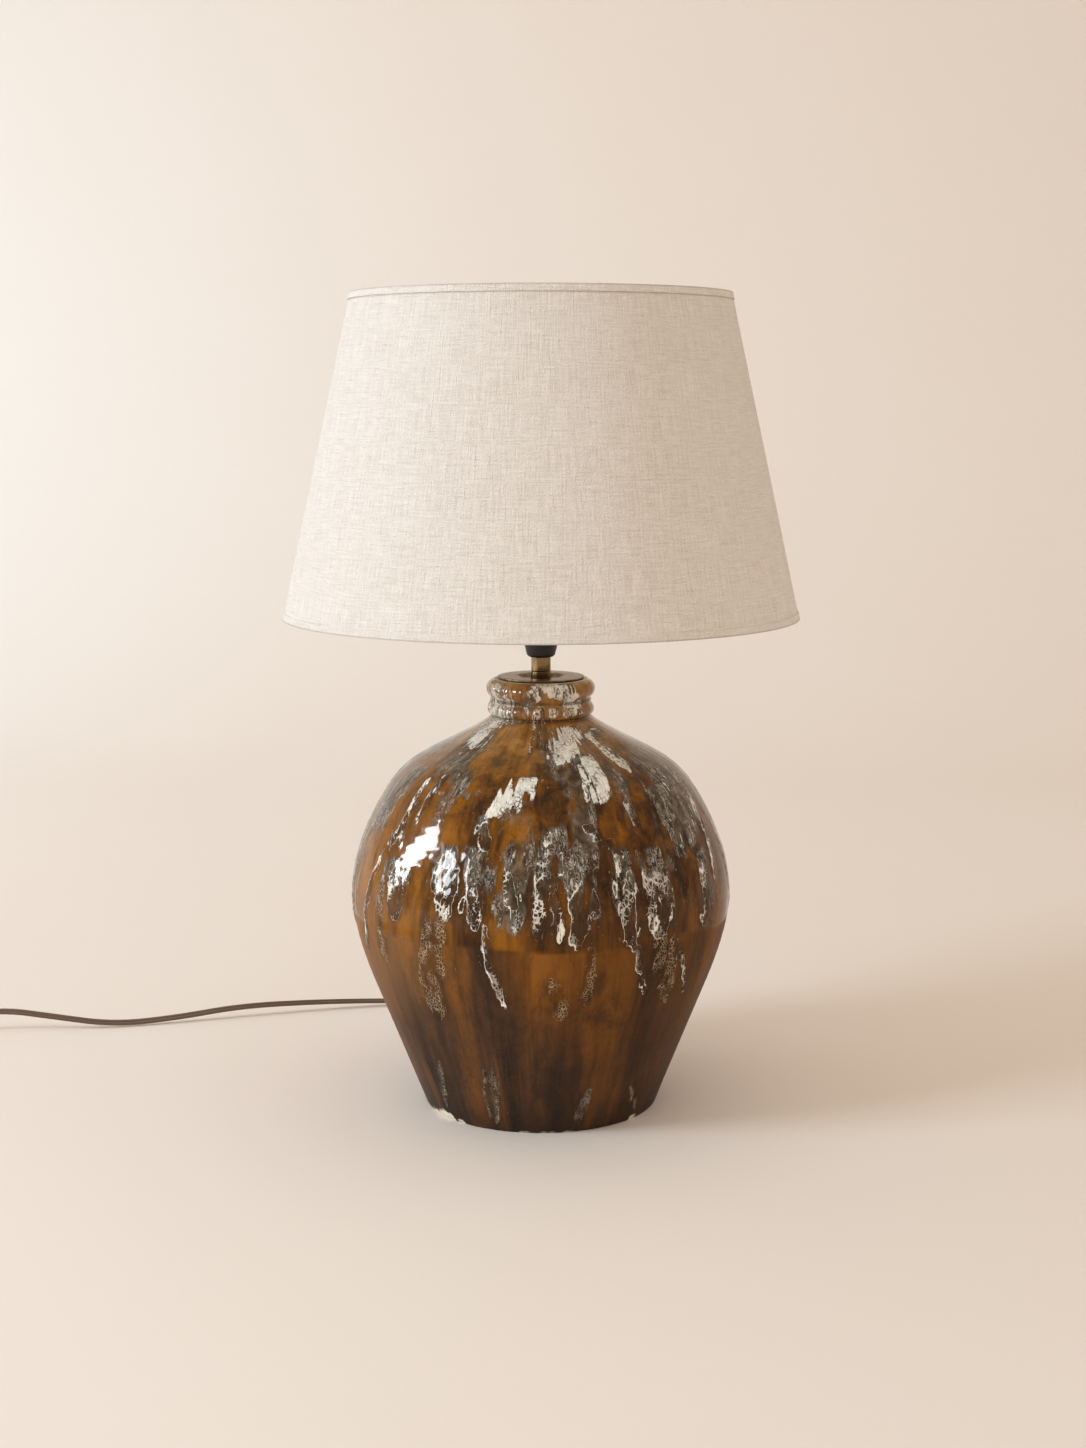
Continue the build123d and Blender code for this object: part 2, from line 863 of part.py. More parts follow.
def coil_path():
    """A layer that spirals in, half a turn that climbs, and a layer that spirals out again."""
    arcs = coil_arcs()
    low = []
    high = []
    for centre, radius, start, size in arcs:
        low.append(CenterArc((coil_x + centre, coil_y, coil_low), radius, start, size))
        high.insert(0, CenterArc((coil_x + centre, coil_y, coil_high), radius, 360 - start - size, size))
    centre, radius = arcs[-1][:2]
    reach = sqrt(radius**2 + (coil_layer_pitch / 2) ** 2)
    climb_start = (coil_x + centre, coil_y - radius, coil_low)
    climb_middle = (coil_x + centre + reach, coil_y, (coil_low + coil_high) / 2)
    climb_end = (coil_x + centre, coil_y + radius, coil_high)
    climb = [
        TangentArc(climb_start, climb_middle, tangent=(1, 0, 0)),
        TangentArc(climb_middle, climb_end, tangent=(1, 0, 0), tangent_from_first=False),
    ]
    lead_in = Line((cord_line_x, coil_y + cord_diameter, coil_low), (cord_line_x, coil_y, coil_low))
    lead_out = Line((cord_line_x, coil_y, coil_high), (cord_line_x, coil_y - cord_diameter, coil_high))
    return Wire([lead_in.edge(), *[arc.edge() for arc in low + climb + high], lead_out.edge()])


def least_gap(path, samples=900):
    """The least gap between turns of the coil's tube, measured on points of its path."""
    points = [tuple(path @ (number / (samples - 1))) for number in range(samples)]
    step = path.length / (samples - 1)
    apart = int(4 * cord_diameter / step)
    least = path.length
    for first in range(samples):
        for second in range(first + apart, samples):
            least = min(least, sum((a - b) ** 2 for a, b in zip(points[first], points[second])))
    return sqrt(least) - cord_diameter


def cord_coil():
    path = coil_path()
    tube = sweep(Plane(path @ 0, z_dir=(0, -1, 0)) * Circle(cord_radius), path=path)
    share = tube.volume / (pi * cord_radius**2 * path.length)
    print(f"cord_coil: length {path.length:.1f}, volume share {share:.4f}, least gap {least_gap(path):.2f}")
    return tube


def coil_tie():
    """A strip round all the turns on the side away from the cord, with its twisted tail."""
    arcs = coil_arcs()
    inner = arcs[-1][0] + arcs[-1][1] - cord_radius - seat_gap
    outer = arcs[0][0] + arcs[0][1] + cord_radius + seat_gap
    bottom = coil_lift - seat_gap
    top = coil_high + cord_radius + seat_gap
    middle = Plane.XZ * Pos((inner + outer) / 2, (bottom + top) / 2)
    wide = outer - inner
    tall = top - bottom
    band = RectangleRounded(wide + 2 * tie_thickness, tall + 2 * tie_thickness, tie_round)
    band -= RectangleRounded(wide, tall, tie_round - tie_thickness)
    loop = extrude(middle * band, tie_width / 2, both=True)
    tail = rod(tie_thickness, tie_tail, (1, 0, 0), (outer + tie_thickness / 2, 0, (bottom + top) / 2))
    return Pos(coil_x, coil_y, 0) * (loop + tail)


def switch_housing():
    """The switch's outside with its two cord channels and its hollow, before it is split."""
    body = extrude(RectangleRounded(switch_width, switch_length, switch_end_radius), switch_height)
    body = fillet(body.faces().sort_by(Axis.Z)[-1].edges(), switch_top_round)
    body = fillet(body.faces().sort_by(Axis.Z)[0].edges(), switch_bottom_round)
    wide = switch_width - 2 * switch_wall
    long = switch_length - 2 * switch_gland_length
    cavity = extrude(RectangleRounded(wide, long, switch_cavity_round), switch_height - 2 * switch_wall)
    channel = rod(cord_radius + wall_gap, 2 * switch_length, (0, 1, 0), (0, -switch_length, switch_split))
    return body - Pos(0, 0, switch_wall) * cavity - channel


def screw_places():
    return [(switch_screw_x, switch_screw_y), (-switch_screw_x, -switch_screw_y)]


def switch_lower_shell():
    shell = split(switch_housing(), Plane.XY.offset(switch_split), keep=Keep.BOTTOM)
    for x, y in screw_places():
        shell -= rod(switch_screw_radius + seat_gap, switch_height, start=(x, y, -1))
        shell -= rod(switch_head_radius + seat_gap, switch_head_height + seat_gap, start=(x, y, 0))
    return switch_location * shell


def switch_upper_shell():
    shell = split(switch_housing(), Plane.XY.offset(switch_split), keep=Keep.TOP)
    window = Box(rocker_width + 2 * seat_gap, 2 * (rocker_radius + seat_gap), switch_height)
    boss_bottom = rocker_pivot_height - pivot_boss_drop
    boss_height = switch_height - switch_wall / 2 - boss_bottom
    boss_x = (rocker_width + pivot_boss_width) / 2 + seat_gap
    for side in (-1, 1):
        boss = Box(pivot_boss_width, pivot_boss_length, boss_height)
        shell += Pos(side * boss_x, 0, boss_bottom + boss_height / 2) * boss
    shell -= Pos(0, 0, switch_height) * window
    reach = rocker_width + 2 * pivot_boss_width + 2 * seat_gap
    shell -= rod(pivot_radius + pin_gap, reach, (1, 0, 0), (-reach / 2, 0, rocker_pivot_height))
    for x, y in screw_places():
        shell -= rod(switch_screw_radius + thread_gap, switch_screw_length, start=(x, y, 0))
    return switch_location * shell


def switch_rocker():
    """A shallow V between two arcs about the pivot, resting tipped to the off side."""
    end_rise = rocker_middle_rise + rocker_radius * tan(radians(rocker_tilt))
    top_length = sqrt(rocker_radius**2 - end_rise**2)
    foot_length = sqrt(rocker_radius**2 - rocker_drop**2)
    profile = [
        Line((-foot_length, -rocker_drop), (foot_length, -rocker_drop)),
        ThreePointArc((foot_length, -rocker_drop), (rocker_radius, 0), (top_length, end_rise)),
        Polyline((top_length, end_rise), (0, rocker_middle_rise), (-top_length, end_rise)),
        ThreePointArc((-top_length, end_rise), (-rocker_radius, 0), (-foot_length, -rocker_drop)),
    ]
    section = Plane.YZ * make_face(Curve() + profile) - Plane.YZ * Circle(pivot_radius + pivot_gap)
    rocker = Rot(-rocker_tilt, 0, 0) * extrude(section, rocker_width / 2, both=True)
    return switch_location * Pos(0, 0, rocker_pivot_height) * rocker


def switch_pivot_pin():
    length = rocker_width + 2 * pivot_boss_width + 2 * seat_gap
    return switch_location * rod(pivot_radius, length, (1, 0, 0), (-length / 2, 0, rocker_pivot_height))


def switch_screws():
    screws = []
    for x, y in screw_places():
        head = rod(switch_head_radius, switch_head_height, start=(x, y, seat_gap))
        shank = rod(switch_screw_radius, switch_screw_length - seat_gap - pin_gap, start=(x, y, seat_gap))
        screws.append(head + shank)
    return switch_location * (Part() + screws)


def switch_terminals():
    blocks = []
    for side in (-1, 1):
        block = Box(terminal_block_width, terminal_block_length, terminal_block_height)
        middle = switch_wall + terminal_block_height / 2
        blocks.append(Pos(0, side * terminal_block_offset, middle) * block)
    return switch_location * (Part() + blocks)


def plug_pin_places():
    return [(-plug_pin_spacing / 2, 0, plug_middle), (plug_pin_spacing / 2, 0, plug_middle)]


def plug_body():
    """A flat six-sided moulding that narrows towards the cord and ends in a grooved strain relief."""
    wide, flat, waist = plug_width / 2, plug_flat_width / 2, plug_waist / 2
    face = Polyline(
        (-wide, plug_middle),
        (-flat, 0),
        (flat, 0),
        (wide, plug_middle),
        (flat, plug_thickness),
        (-flat, plug_thickness),
        close=True,
    )
    block = extrude(Plane.XZ * make_face(face), plug_length, dir=(0, 1, 0))
    hollow = ((wide + waist) / 2 - plug_side_hollow, (plug_front + plug_length) / 2)
    sides = [
        Line((-wide, 0), (wide, 0)),
        Line((wide, 0), (wide, plug_front)),
        ThreePointArc((wide, plug_front), hollow, (waist, plug_length)),
        Line((waist, plug_length), (-waist, plug_length)),
        ThreePointArc((-waist, plug_length), (-hollow[0], hollow[1]), (-wide, plug_front)),
        Line((-wide, plug_front), (-wide, 0)),
    ]
    block = block & extrude(make_face(Curve() + sides), plug_thickness)
    bore = cord_radius + wall_gap
    tip = bore + plug_relief_wall
    pitch = plug_relief_length / (plug_relief_ribs + 1)
    relief = [(0, 0), (plug_relief_radius, 0)]
    for number in range(1, plug_relief_ribs + 1):
        radius = plug_relief_radius + (tip - plug_relief_radius) * number / (plug_relief_ribs + 1)
        relief += [
            (radius, (number - 0.25) * pitch),
            (radius - plug_relief_groove, (number - 0.25) * pitch),
            (radius - plug_relief_groove, (number + 0.25) * pitch),
            (radius, (number + 0.25) * pitch),
        ]
    relief += [(tip, plug_relief_length), (0, plug_relief_length)]
    body = block + Pos(0, plug_length, plug_middle) * Rot(-90, 0, 0) * turned(*relief)
    tip_y = plug_length + plug_relief_length
    body -= rod(bore, plug_cord_grip + seat_gap, (0, -1, 0), (0, tip_y, plug_middle))
    for place in plug_pin_places():
        body -= rod(plug_pin_root_radius + pin_gap, plug_pin_depth, (0, 1, 0), place)
    return plug_location * body


def plug_pins():
    pins = []
    for place in plug_pin_places():
        pin = rod(plug_pin_radius, plug_pin_length, (0, -1, 0), place)
        tip_edge = pin.edges().filter_by(GeomType.CIRCLE).sort_by(Axis.Y)[0]
        root = rod(plug_pin_root_radius, plug_pin_depth - pin_gap, (0, 1, 0), place)
        pins.append(chamfer(tip_edge, plug_pin_chamfer) + root)
    return plug_location * (Part() + pins)


nodes = [
    ceramic_jar,
    cord_grommet,
    cap_gasket,
    vase_cap,
    threaded_tube,
    lock_collar,
    neck_sleeve,
    toggle_bar,
    toggle_washer,
    toggle_nut,
    holder_cap,
    holder_lock_screw,
    holder_barrel,
    holder_insert,
    screw_shell,
    centre_contact,
    holder_terminals,
    terminal_screws,
    shade_ring,
    bulb_tip,
    bulb_insulator,
    bulb_cap,
    bulb_glass,
    shade_linen,
    shade_liner,
    top_ring,
    bottom_frame,
    top_hem,
    bottom_hem,
    inner_cord,
    cord_cores,
    cord_lead,
    cord_middle,
    cord_coil,
    coil_tie,
    cord_tail,
    switch_lower_shell,
    switch_upper_shell,
    switch_rocker,
    switch_pivot_pin,
    switch_screws,
    switch_terminals,
    plug_body,
    plug_pins,
]

os.makedirs("parts", exist_ok=True)
for node in nodes:
    export_step(node(), f"parts/{node.__name__}.step")
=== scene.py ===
"""A ceramic table lamp, dressed round its CAD frame: glazed jar, linen shade, brass fitting and flex."""

import json
import math
import random

import bmesh
import bpy
import numpy as np
from bpy.props import FloatProperty, FloatVectorProperty, IntProperty, PointerProperty
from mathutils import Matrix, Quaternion, Vector
from mathutils.bvhtree import BVHTree


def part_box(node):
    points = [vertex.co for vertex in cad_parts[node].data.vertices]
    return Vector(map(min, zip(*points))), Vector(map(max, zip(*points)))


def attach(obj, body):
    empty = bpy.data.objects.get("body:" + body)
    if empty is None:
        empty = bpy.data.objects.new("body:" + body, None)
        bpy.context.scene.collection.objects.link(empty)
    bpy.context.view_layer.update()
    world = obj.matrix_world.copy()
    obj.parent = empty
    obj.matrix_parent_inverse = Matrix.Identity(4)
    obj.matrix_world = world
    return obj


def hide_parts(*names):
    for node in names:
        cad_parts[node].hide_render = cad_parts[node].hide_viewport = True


bl_info = {
    "name": "Ceramic Table Lamp",
    "version": (1, 0, 0),
    "blender": (4, 5, 0),
    "location": "View3D > Sidebar > Lamp",
    "description": "Dresses the CAD frame of a table lamp with a drip glazed jar and a linen shade",
    "category": "Add Mesh",
}

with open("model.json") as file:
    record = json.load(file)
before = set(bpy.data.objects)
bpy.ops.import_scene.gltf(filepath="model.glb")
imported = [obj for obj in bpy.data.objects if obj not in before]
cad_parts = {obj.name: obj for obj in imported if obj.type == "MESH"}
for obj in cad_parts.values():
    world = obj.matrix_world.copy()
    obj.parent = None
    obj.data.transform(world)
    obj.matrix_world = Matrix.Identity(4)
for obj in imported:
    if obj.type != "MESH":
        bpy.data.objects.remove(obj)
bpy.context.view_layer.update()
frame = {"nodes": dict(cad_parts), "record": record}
bodies = frame["record"]["behaviour"]["bodies"]
body_of_node = {node: body for body, members in bodies.items() for node in members}
slot_of_node = {row["node"]: row["material_slot"] for row in frame["record"]["subparts"]}
MM = 0.001
TURN = 2 * math.pi

# The sides that turned grids start from, by the sign of y
FRONT, BACK = -1, 1

# Rays that measure a solid's front pass a little beside its seam edge
OFF_SEAM = 0.2 * MM


def tone(red, green, blue):
    """A display colour, 0 to 255 a channel, as the linear colour that Blender works in."""
    levels = [channel / 255 for channel in (red, green, blue)]
    return tuple(v / 12.92 if v <= 0.04045 else ((v + 0.055) / 1.055) ** 2.4 for v in levels)


def colour(name, description, default):
    return FloatVectorProperty(
        name=name, description=description, default=tone(*default), subtype="COLOR", min=0, max=1
    )


def length(name, description, default):
    return FloatProperty(name=name, description=description, default=default, unit="LENGTH", precision=5)


class JarSettings(bpy.types.PropertyGroup):
    seed: IntProperty(name="Seed", description="Draws the runs of glaze behind the front", default=11)
    columns: IntProperty(name="Columns", description="Points round the jar", default=396)
    drip_relief: length("Drip relief", "How far a run of glaze stands out", 0.7 * MM)
    ring_relief: length("Ring relief", "Depth of the throwing rings", 0.05 * MM)
    lump_relief: length("Lump relief", "How far the wall is from true", 0.45 * MM)
    gloss_line: length("Gloss line", "Height where the glossy coat ends", 157 * MM)
    amber: colour("Amber", "The thick glossy glaze", (135, 83, 19))
    honey: colour("Honey", "The thin glossy glaze", (166, 106, 36))
    umber: colour("Umber", "The dark runs in the glossy glaze", (44, 28, 17))
    smoke: colour("Smoke", "The grey veils below the neck", (126, 114, 98))
    # Cream also colours the glints that are painted on the runs
    cream: colour("Cream", "The crawled white glaze", (248, 244, 236))
    rust: colour("Rust", "The light runs in the satin glaze", (130, 81, 32))
    soot: colour("Soot", "The dark satin glaze near the foot", (48, 37, 31))
    clay: colour("Clay", "The bare body at chips and under the foot", (238, 228, 212))


class ShadeSettings(bpy.types.PropertyGroup):
    columns: IntProperty(name="Columns", description="Points round the shade", default=288)
    thread: length("Thread", "Distance between the linen's threads", 1.1 * MM)
    hem_depth: length("Hem depth", "Height of the tape's outer leaf", 5.4 * MM)
    hem_thickness: length("Hem thickness", "Thickness of the folded tape", 0.5 * MM)
    glue_gap: length("Glue gap", "Space between the shade's layers", 0.15 * MM)
    seam_width: length("Seam width", "Width of the lap at the back", 11 * MM)
    slant: length("Slant", "Height of the linen measured along its slope", 250.6 * MM)
    flax: colour("Flax", "The linen's light threads", (252, 245, 240))
    oatmeal: colour("Oatmeal", "The linen's dark threads", (214, 201, 188))
    lining: colour("Lining", "The film inside the shade", (244, 240, 230))


class FittingSettings(bpy.types.PropertyGroup):
    softness: length("Softness", "How far the edges of turned pieces are rounded", 0.22 * MM)
    rubbed: colour("Rubbed brass", "Brass where it is worn", (164, 138, 100))
    patina: colour("Patina", "Brass where it has darkened", (104, 84, 60))
    black: colour("Black", "The lamp holder's moulding", (30, 28, 27))


class CordSettings(bpy.types.PropertyGroup):
    width: length("Width", "Width of the flat twin cord", 5.4 * MM)
    thickness: length("Thickness", "Thickness of the flat twin cord", 2.9 * MM)
    coil_radius: length("Coil radius", "The outer turn's centre line", 36.6 * MM)
    coil_pitch: length("Coil pitch", "Distance between turns and between layers", 5.9 * MM)
    umber: colour("Cord", "The cord's sheath", (120, 93, 73))
    cocoa: colour("Mouldings", "The switch and the plug", (84, 62, 50))


class StageSettings(bpy.types.PropertyGroup):
    floor: colour("Floor", "The floor and the backdrop", (237, 227, 219))
    key: FloatProperty(name="Key", description="Power of the window light", default=43, unit="POWER")
    fill: FloatProperty(name="Fill", description="Strength of the light from all round", default=0.81)
    glint: FloatProperty(name="Glint", description="Brightness of the panes in the glaze", default=42)
    lens: FloatProperty(name="Lens", description="Focal length in millimetres", default=52.21)
    eye: FloatVectorProperty(
        name="Eye",
        description="Where the camera stands",
        default=(0.0016, -1.6269, 0.5527),
        subtype="TRANSLATION",
    )
    tilt: FloatProperty(
        name="Tilt", description="How far it looks down", default=math.radians(8.7708), unit="ROTATION"
    )


def sum_node(operation, swapped=False):
    def apply(self, other):
        first, second = (other, self) if swapped else (self, other)
        return self.tree.node("ShaderNodeMath", {"operation": operation}, {0: first, 1: second})

    return apply


class Value:
    """An output in a node tree. Sums that are written with it add Math nodes."""

    def __init__(self, tree, socket):
        self.tree = tree
        self.socket = socket

    __add__ = sum_node("ADD")
    __radd__ = sum_node("ADD", True)
    __sub__ = sum_node("SUBTRACT")
    __rsub__ = sum_node("SUBTRACT", True)
    __mul__ = sum_node("MULTIPLY")
    __rmul__ = sum_node("MULTIPLY", True)
    __truediv__ = sum_node("DIVIDE")
    __pow__ = sum_node("POWER")


class Tree:
    """A node tree that is filled through one method."""

    def __init__(self, tree):
        self.tree = tree

    def node(self, kind, settings=None, sockets=None, out=0):
        made = self.tree.nodes.new(kind)
        for key, value in (settings or {}).items():
            if key == "stops":
                self.place_stops(made.color_ramp, value)
            else:
                setattr(made, key, value)
        for key, value in (sockets or {}).items():
            self.feed(made.inputs[key], value)
        return Value(self, made.outputs[out]) if made.outputs else made

    def feed(self, socket, value):
        if isinstance(value, Value):
            self.tree.links.new(value.socket, socket)
        elif socket.type == "RGBA":
            socket.default_value = (*value[:3], 1)
        else:
            socket.default_value = value

    def place_stops(self, ramp, stops):
        while len(ramp.elements) < len(stops):
            ramp.elements.new(1)
        for element, (place, shade) in zip(ramp.elements, stops):
            element.position = place
            element.color = (*shade[:3], 1)


class Paint(Tree):
    """A procedural finish, made of a node tree and its shader."""

    def __init__(self, name, constants=None):
        self.material = bpy.data.materials.new(name)
        self.material.use_nodes = True
        super().__init__(self.material.node_tree)
        self.shader = self.tree.nodes["Principled BSDF"]
        for socket, value in (constants or {}).items():
            self.feed(self.shader.inputs[socket], value)

    def place(self):
        return self.node("ShaderNodeTexCoord", out="Object")

    def split(self, vector):
        first = self.node("ShaderNodeSeparateXYZ", {}, {0: vector})
        return [Value(self, socket) for socket in first.socket.node.outputs]

    def join(self, x, y, z):
        return self.node("ShaderNodeCombineXYZ", {}, {0: x, 1: y, 2: z})

    def around(self, girth, fall):
        """Coordinates that run round a turned piece and down it, with no seam."""
        x, y, z = self.split(self.place())
        radius = (x * x + y * y) ** 0.5
        return self.join(x / radius * girth, y / radius * girth, z * fall)

    def noise(self, vector, scale, detail=3.0, rough=0.5, warp=0.0):
        sockets = {"Vector": vector, "Scale": scale, "Detail": detail, "Roughness": rough, "Distortion": warp}
        return self.node("ShaderNodeTexNoise", {}, sockets)

    def flat_noise(self, across, up, layer, detail, rough):
        """Noise on a flat map, where each layer has a pattern of its own."""
        return self.noise(self.join(across, up, layer), 1.0, detail, rough)

    def ridges(self, vector, scale, detail=2.0, rough=0.5, warp=0.0):
        """Noise whose crests are thin lines."""
        return 1 - self.size(self.noise(vector, scale, detail, rough, warp) * 2 - 1)

    def size(self, value):
        return self.node("ShaderNodeMath", {"operation": "ABSOLUTE"}, {0: value})

    def most(self, first, *others):
        for other in others:
            first = self.node("ShaderNodeMath", {"operation": "MAXIMUM"}, {0: first, 1: other})
        return first

    def blend(self, share, first, second):
        """Goes from one value to another by a share."""
        return first + (second - first) * share

    def cells(self, vector, scale):
        """Distance to the nearest wall of a foam of cells, in cells, on coordinates bent by noise."""
        sockets = {"Vector": vector, "Scale": scale * 0.45, "Detail": 2.0}
        bend = self.node("ShaderNodeTexNoise", {}, sockets, "Color")
        sockets = {0: bend, 1: (1.1 / scale,) * 3, 2: vector}
        bent = self.node("ShaderNodeVectorMath", {"operation": "MULTIPLY_ADD"}, sockets)
        foam = {"feature": "DISTANCE_TO_EDGE"}
        return self.node("ShaderNodeTexVoronoi", foam, {"Vector": bent, "Scale": scale}, "Distance")

    def wave(self, value):
        return self.node("ShaderNodeMath", {"operation": "SINE"}, {0: value})

    def step(self, value, low, high):
        sockets = {"Value": value, "From Min": low, "From Max": high}
        return self.node("ShaderNodeMapRange", {"interpolation_type": "SMOOTHSTEP"}, sockets)

    def ramp(self, value, *stops):
        return self.node("ShaderNodeValToRGB", {"stops": stops}, {0: value})

    def mix(self, share, first, second):
        return self.node("ShaderNodeMix", {"data_type": "RGBA"}, {0: share, 6: first, 7: second}, 2)

    def stain(self, base, value, low, high, share, shade):
        """Lays a shade over the base where a value goes from low to high."""
        return self.mix(self.step(value, low, high) * share, base, shade)

    def attribute(self, name):
        return self.node("ShaderNodeAttribute", {"attribute_name": name}, {}, "Fac")

    def finish(self, base, roughness=None, height=None, depth=0.1 * MM, coat=None):
        given = {"Base Color": base, "Roughness": roughness, "Coat Weight": coat}
        if height is not None:
            sockets = {"Height": height, "Strength": 1.0, "Distance": depth}
            given["Normal"] = self.node("ShaderNodeBump", {}, sockets)
        for socket, value in given.items():
            if value is not None:
                self.feed(self.shader.inputs[socket], value)
        return self.material


# The jar's own maps: runs, their left sides where white rims are painted wider as glints, white, dark rims of
# darker glaze and painted shade, smoke, wrinkles, gloss and bare clay
FIELDS = ("run", "lee", "solid", "halo", "veil", "net", "gloss", "bare")


# Radius that noise round the jar is laid out on
GIRTH = 0.148

# Heights between which the golden crown, the neck's own noise and the satin coat's light upper part fade in
CROWN = (0.27, 0.312)
NECK = (0.262, 0.3)
UPPER_SATIN = (0.055, 0.15)

# How far above the gloss line the pool of amber starts, and where it is full
POOL = (0.034, 0.004)

# The neck's two grooves: height, and the distances where the painted shade in them ends and where it is full
GROOVES = ((0.3225, 2.2 * MM, 0.7 * MM), (0.3098, 1.8 * MM, 0.5 * MM))


class Glaze(Paint):
    """Amber gloss with dark runs, smoky veils and crawled white runs, over satin brown at the foot."""

    def __init__(self, look):
        super().__init__("drip_glaze", {"Coat Roughness": 0.03, "Specular IOR Level": 0.06})
        self.look = look
        for name in FIELDS:
            setattr(self, name, self.attribute(name))
        self.x, self.y, self.height = self.split(self.place())
        self.flow = self.around(GIRTH, 0.13)
        self.curl = self.around(GIRTH, 0.5)
        self.tall = self.join(self.x, self.y, self.height * 0.45)
        self.squat = self.join(self.x, self.y, self.height * 0.7)
        self.bands = self.noise(self.flow, 17, 2, 0.5)
        self.mottle = self.noise(self.tall, 66, 6, 0.68, 0.5)
        self.fibre = self.noise(self.tall, 330, 4, 0.65, 0.4)
        self.cloud = self.noise(self.tall, 120, 5, 0.7)
        self.hairs = self.noise(self.around(GIRTH, 0.07), 420, 3, 0.6)
        self.grain = self.noise(self.around(GIRTH, 2.6), 420, 3, 0.65)
        self.place_masks()

    def place_masks(self):
        """The jar's right side, with painted shade and a darker glaze, and its left side, with painted window
        light; its neck with the grooves, and the edges of the runs.
        """
        line = self.look.gloss_line
        # Painted shade on the right, the side away from the window, with a darker glaze there too
        self.shade_and_dark_glaze = self.step(self.x + (self.bands - 0.5) * 0.12, -0.05, 0.1)
        # Painted window light on the left, the side that faces the window, above the foot
        self.painted_window_light = self.step(self.x, -0.05, -0.14) * self.step(self.height, 0.06, 0.13)
        self.pool = self.step(self.height, line + POOL[0], line + POOL[1])
        self.crown = self.step(self.height, *CROWN)
        self.neck = self.step(self.height, *NECK)
        torn = self.noise(self.squat, 130, 3, 0.55, 0.8)
        # Painted shade in the neck's two grooves, broken by noise
        lines = [self.step(self.size(self.height - place), end, full) for place, end, full in GROOVES]
        self.groove = self.most(*lines) * self.step(torn, 0.36, 0.54)
        ragged = self.noise(self.around(GIRTH, 0.36), 230, 3, 0.6, 0.5)
        self.ragged = self.blend(self.neck, ragged, torn)
        fine = [self.noise(place, 620, 2, 0.6, 0.4) for place in (self.curl, self.squat)]
        self.fine = self.blend(self.neck, *fine)
        self.edge = self.run + (self.ragged - 0.5) * 0.8 + (self.fine - 0.5) * 0.3
        broken = 0.3 + 0.7 * self.step(self.noise(self.curl, 52, 2, 0.5), 0.4, 0.56)
        self.inside = self.step(self.edge, 0.45, 0.62) * broken

    def clear_coat(self):
        """The glossy glaze: umber to honey, golden at the neck, with painted shade in the grooves, and deep
        in the pool.
        """
        look = self.look
        streaks = self.noise(self.flow, 58, 5, 0.6, 0.4)
        depth = streaks * 0.58 + self.bands * 0.3 + self.hairs * 0.12
        thick = self.mottle * 0.55 + depth * 0.45 + 0.015 - self.shade_and_dark_glaze * 0.06
        middle = (0.46, tone(92, 57, 24))
        base = self.ramp(thick, (0.38, look.umber), middle, (0.55, look.amber), (0.67, look.honey))
        flecks = self.noise(self.squat, 330, 4, 0.66, 0.3)
        base = self.stain(base, flecks, 0.52, 0.74, 0.45, look.umber)
        base = self.stain(base, self.cloud, 0.5, 0.72, 0.75, look.umber)
        trails = self.noise(self.around(GIRTH, 0.09), 90, 3, 0.55)
        base = self.stain(base, trails, 0.54, 0.7, 0.5, tone(44, 30, 21))
        golden = self.ramp(thick, (0.42, tone(142, 94, 38)), (0.58, tone(204, 150, 80)))
        base = self.mix(self.crown * 0.85, base, golden)
        # Painted shade in the grooves
        base = self.mix(self.groove * 0.8, base, tone(46, 28, 14))
        deep = self.ramp(depth, (0.42, tone(44, 19, 2)), (0.6, tone(152, 94, 10)))
        base = self.mix(self.pool * 0.8, base, deep)
        # Painted shade over the pool on the right side
        return self.mix(self.pool * self.shade_and_dark_glaze * 0.35, base, tone(44, 26, 12))

    def satin_coat(self):
        """The dull glaze below the gloss line, sooty towards the foot, with painted shade on the right and a
        painted window sheen on the left.
        """
        look = self.look
        blotch = self.noise(self.flow, 44, 3, 0.5, 0.3)
        soft = blotch * 0.45 + self.bands * 0.3 + self.mottle * 0.15 + self.hairs * 0.1
        low = self.ramp(soft, (0.41, look.soot), (0.51, tone(88, 61, 42)), (0.6, look.rust))
        high = self.ramp(soft, (0.39, tone(58, 39, 26)), (0.49, tone(112, 70, 27)), (0.58, tone(150, 95, 36)))
        base = self.mix(self.step(self.height + (self.bands - 0.5) * 0.2, *UPPER_SATIN), low, high)
        smudge = self.noise(self.join(self.x, self.y, self.height * 0.5), 34, 6, 0.62, 0.5)
        base = self.stain(base, self.height, 0.035, 0.0, 0.55, tone(42, 34, 29))
        base = self.stain(base, self.grain, 0.45, 0.8, 0.2, tone(132, 104, 78))
        base = self.stain(base, smudge, 0.48, 0.66, 0.62, tone(52, 43, 37))
        base = self.stain(base, self.fibre, 0.52, 0.7, 0.28, look.soot)
        # Painted shade and a darker glaze on the right side
        base = self.mix(self.shade_and_dark_glaze * 0.45, base, tone(58, 41, 29))
        # Painted window sheen on the left side
        return self.mix(self.painted_window_light * 0.36, base, tone(186, 134, 86))

    def smoked(self, base):
        """The base under its grey veils, and how thick they lie."""
        ash = self.noise(self.squat, 120, 5, 0.6, 0.6)
        grey = self.ramp(ash, (0.36, tone(44, 36, 30)), (0.5, tone(84, 74, 62)), (0.66, self.look.smoke))
        smoke = self.step(self.veil + (self.cloud - 0.5) * 0.9 + (ash - 0.5) * 0.4, 0.2, 0.95)
        return self.mix(smoke * 0.78, base, grey), smoke

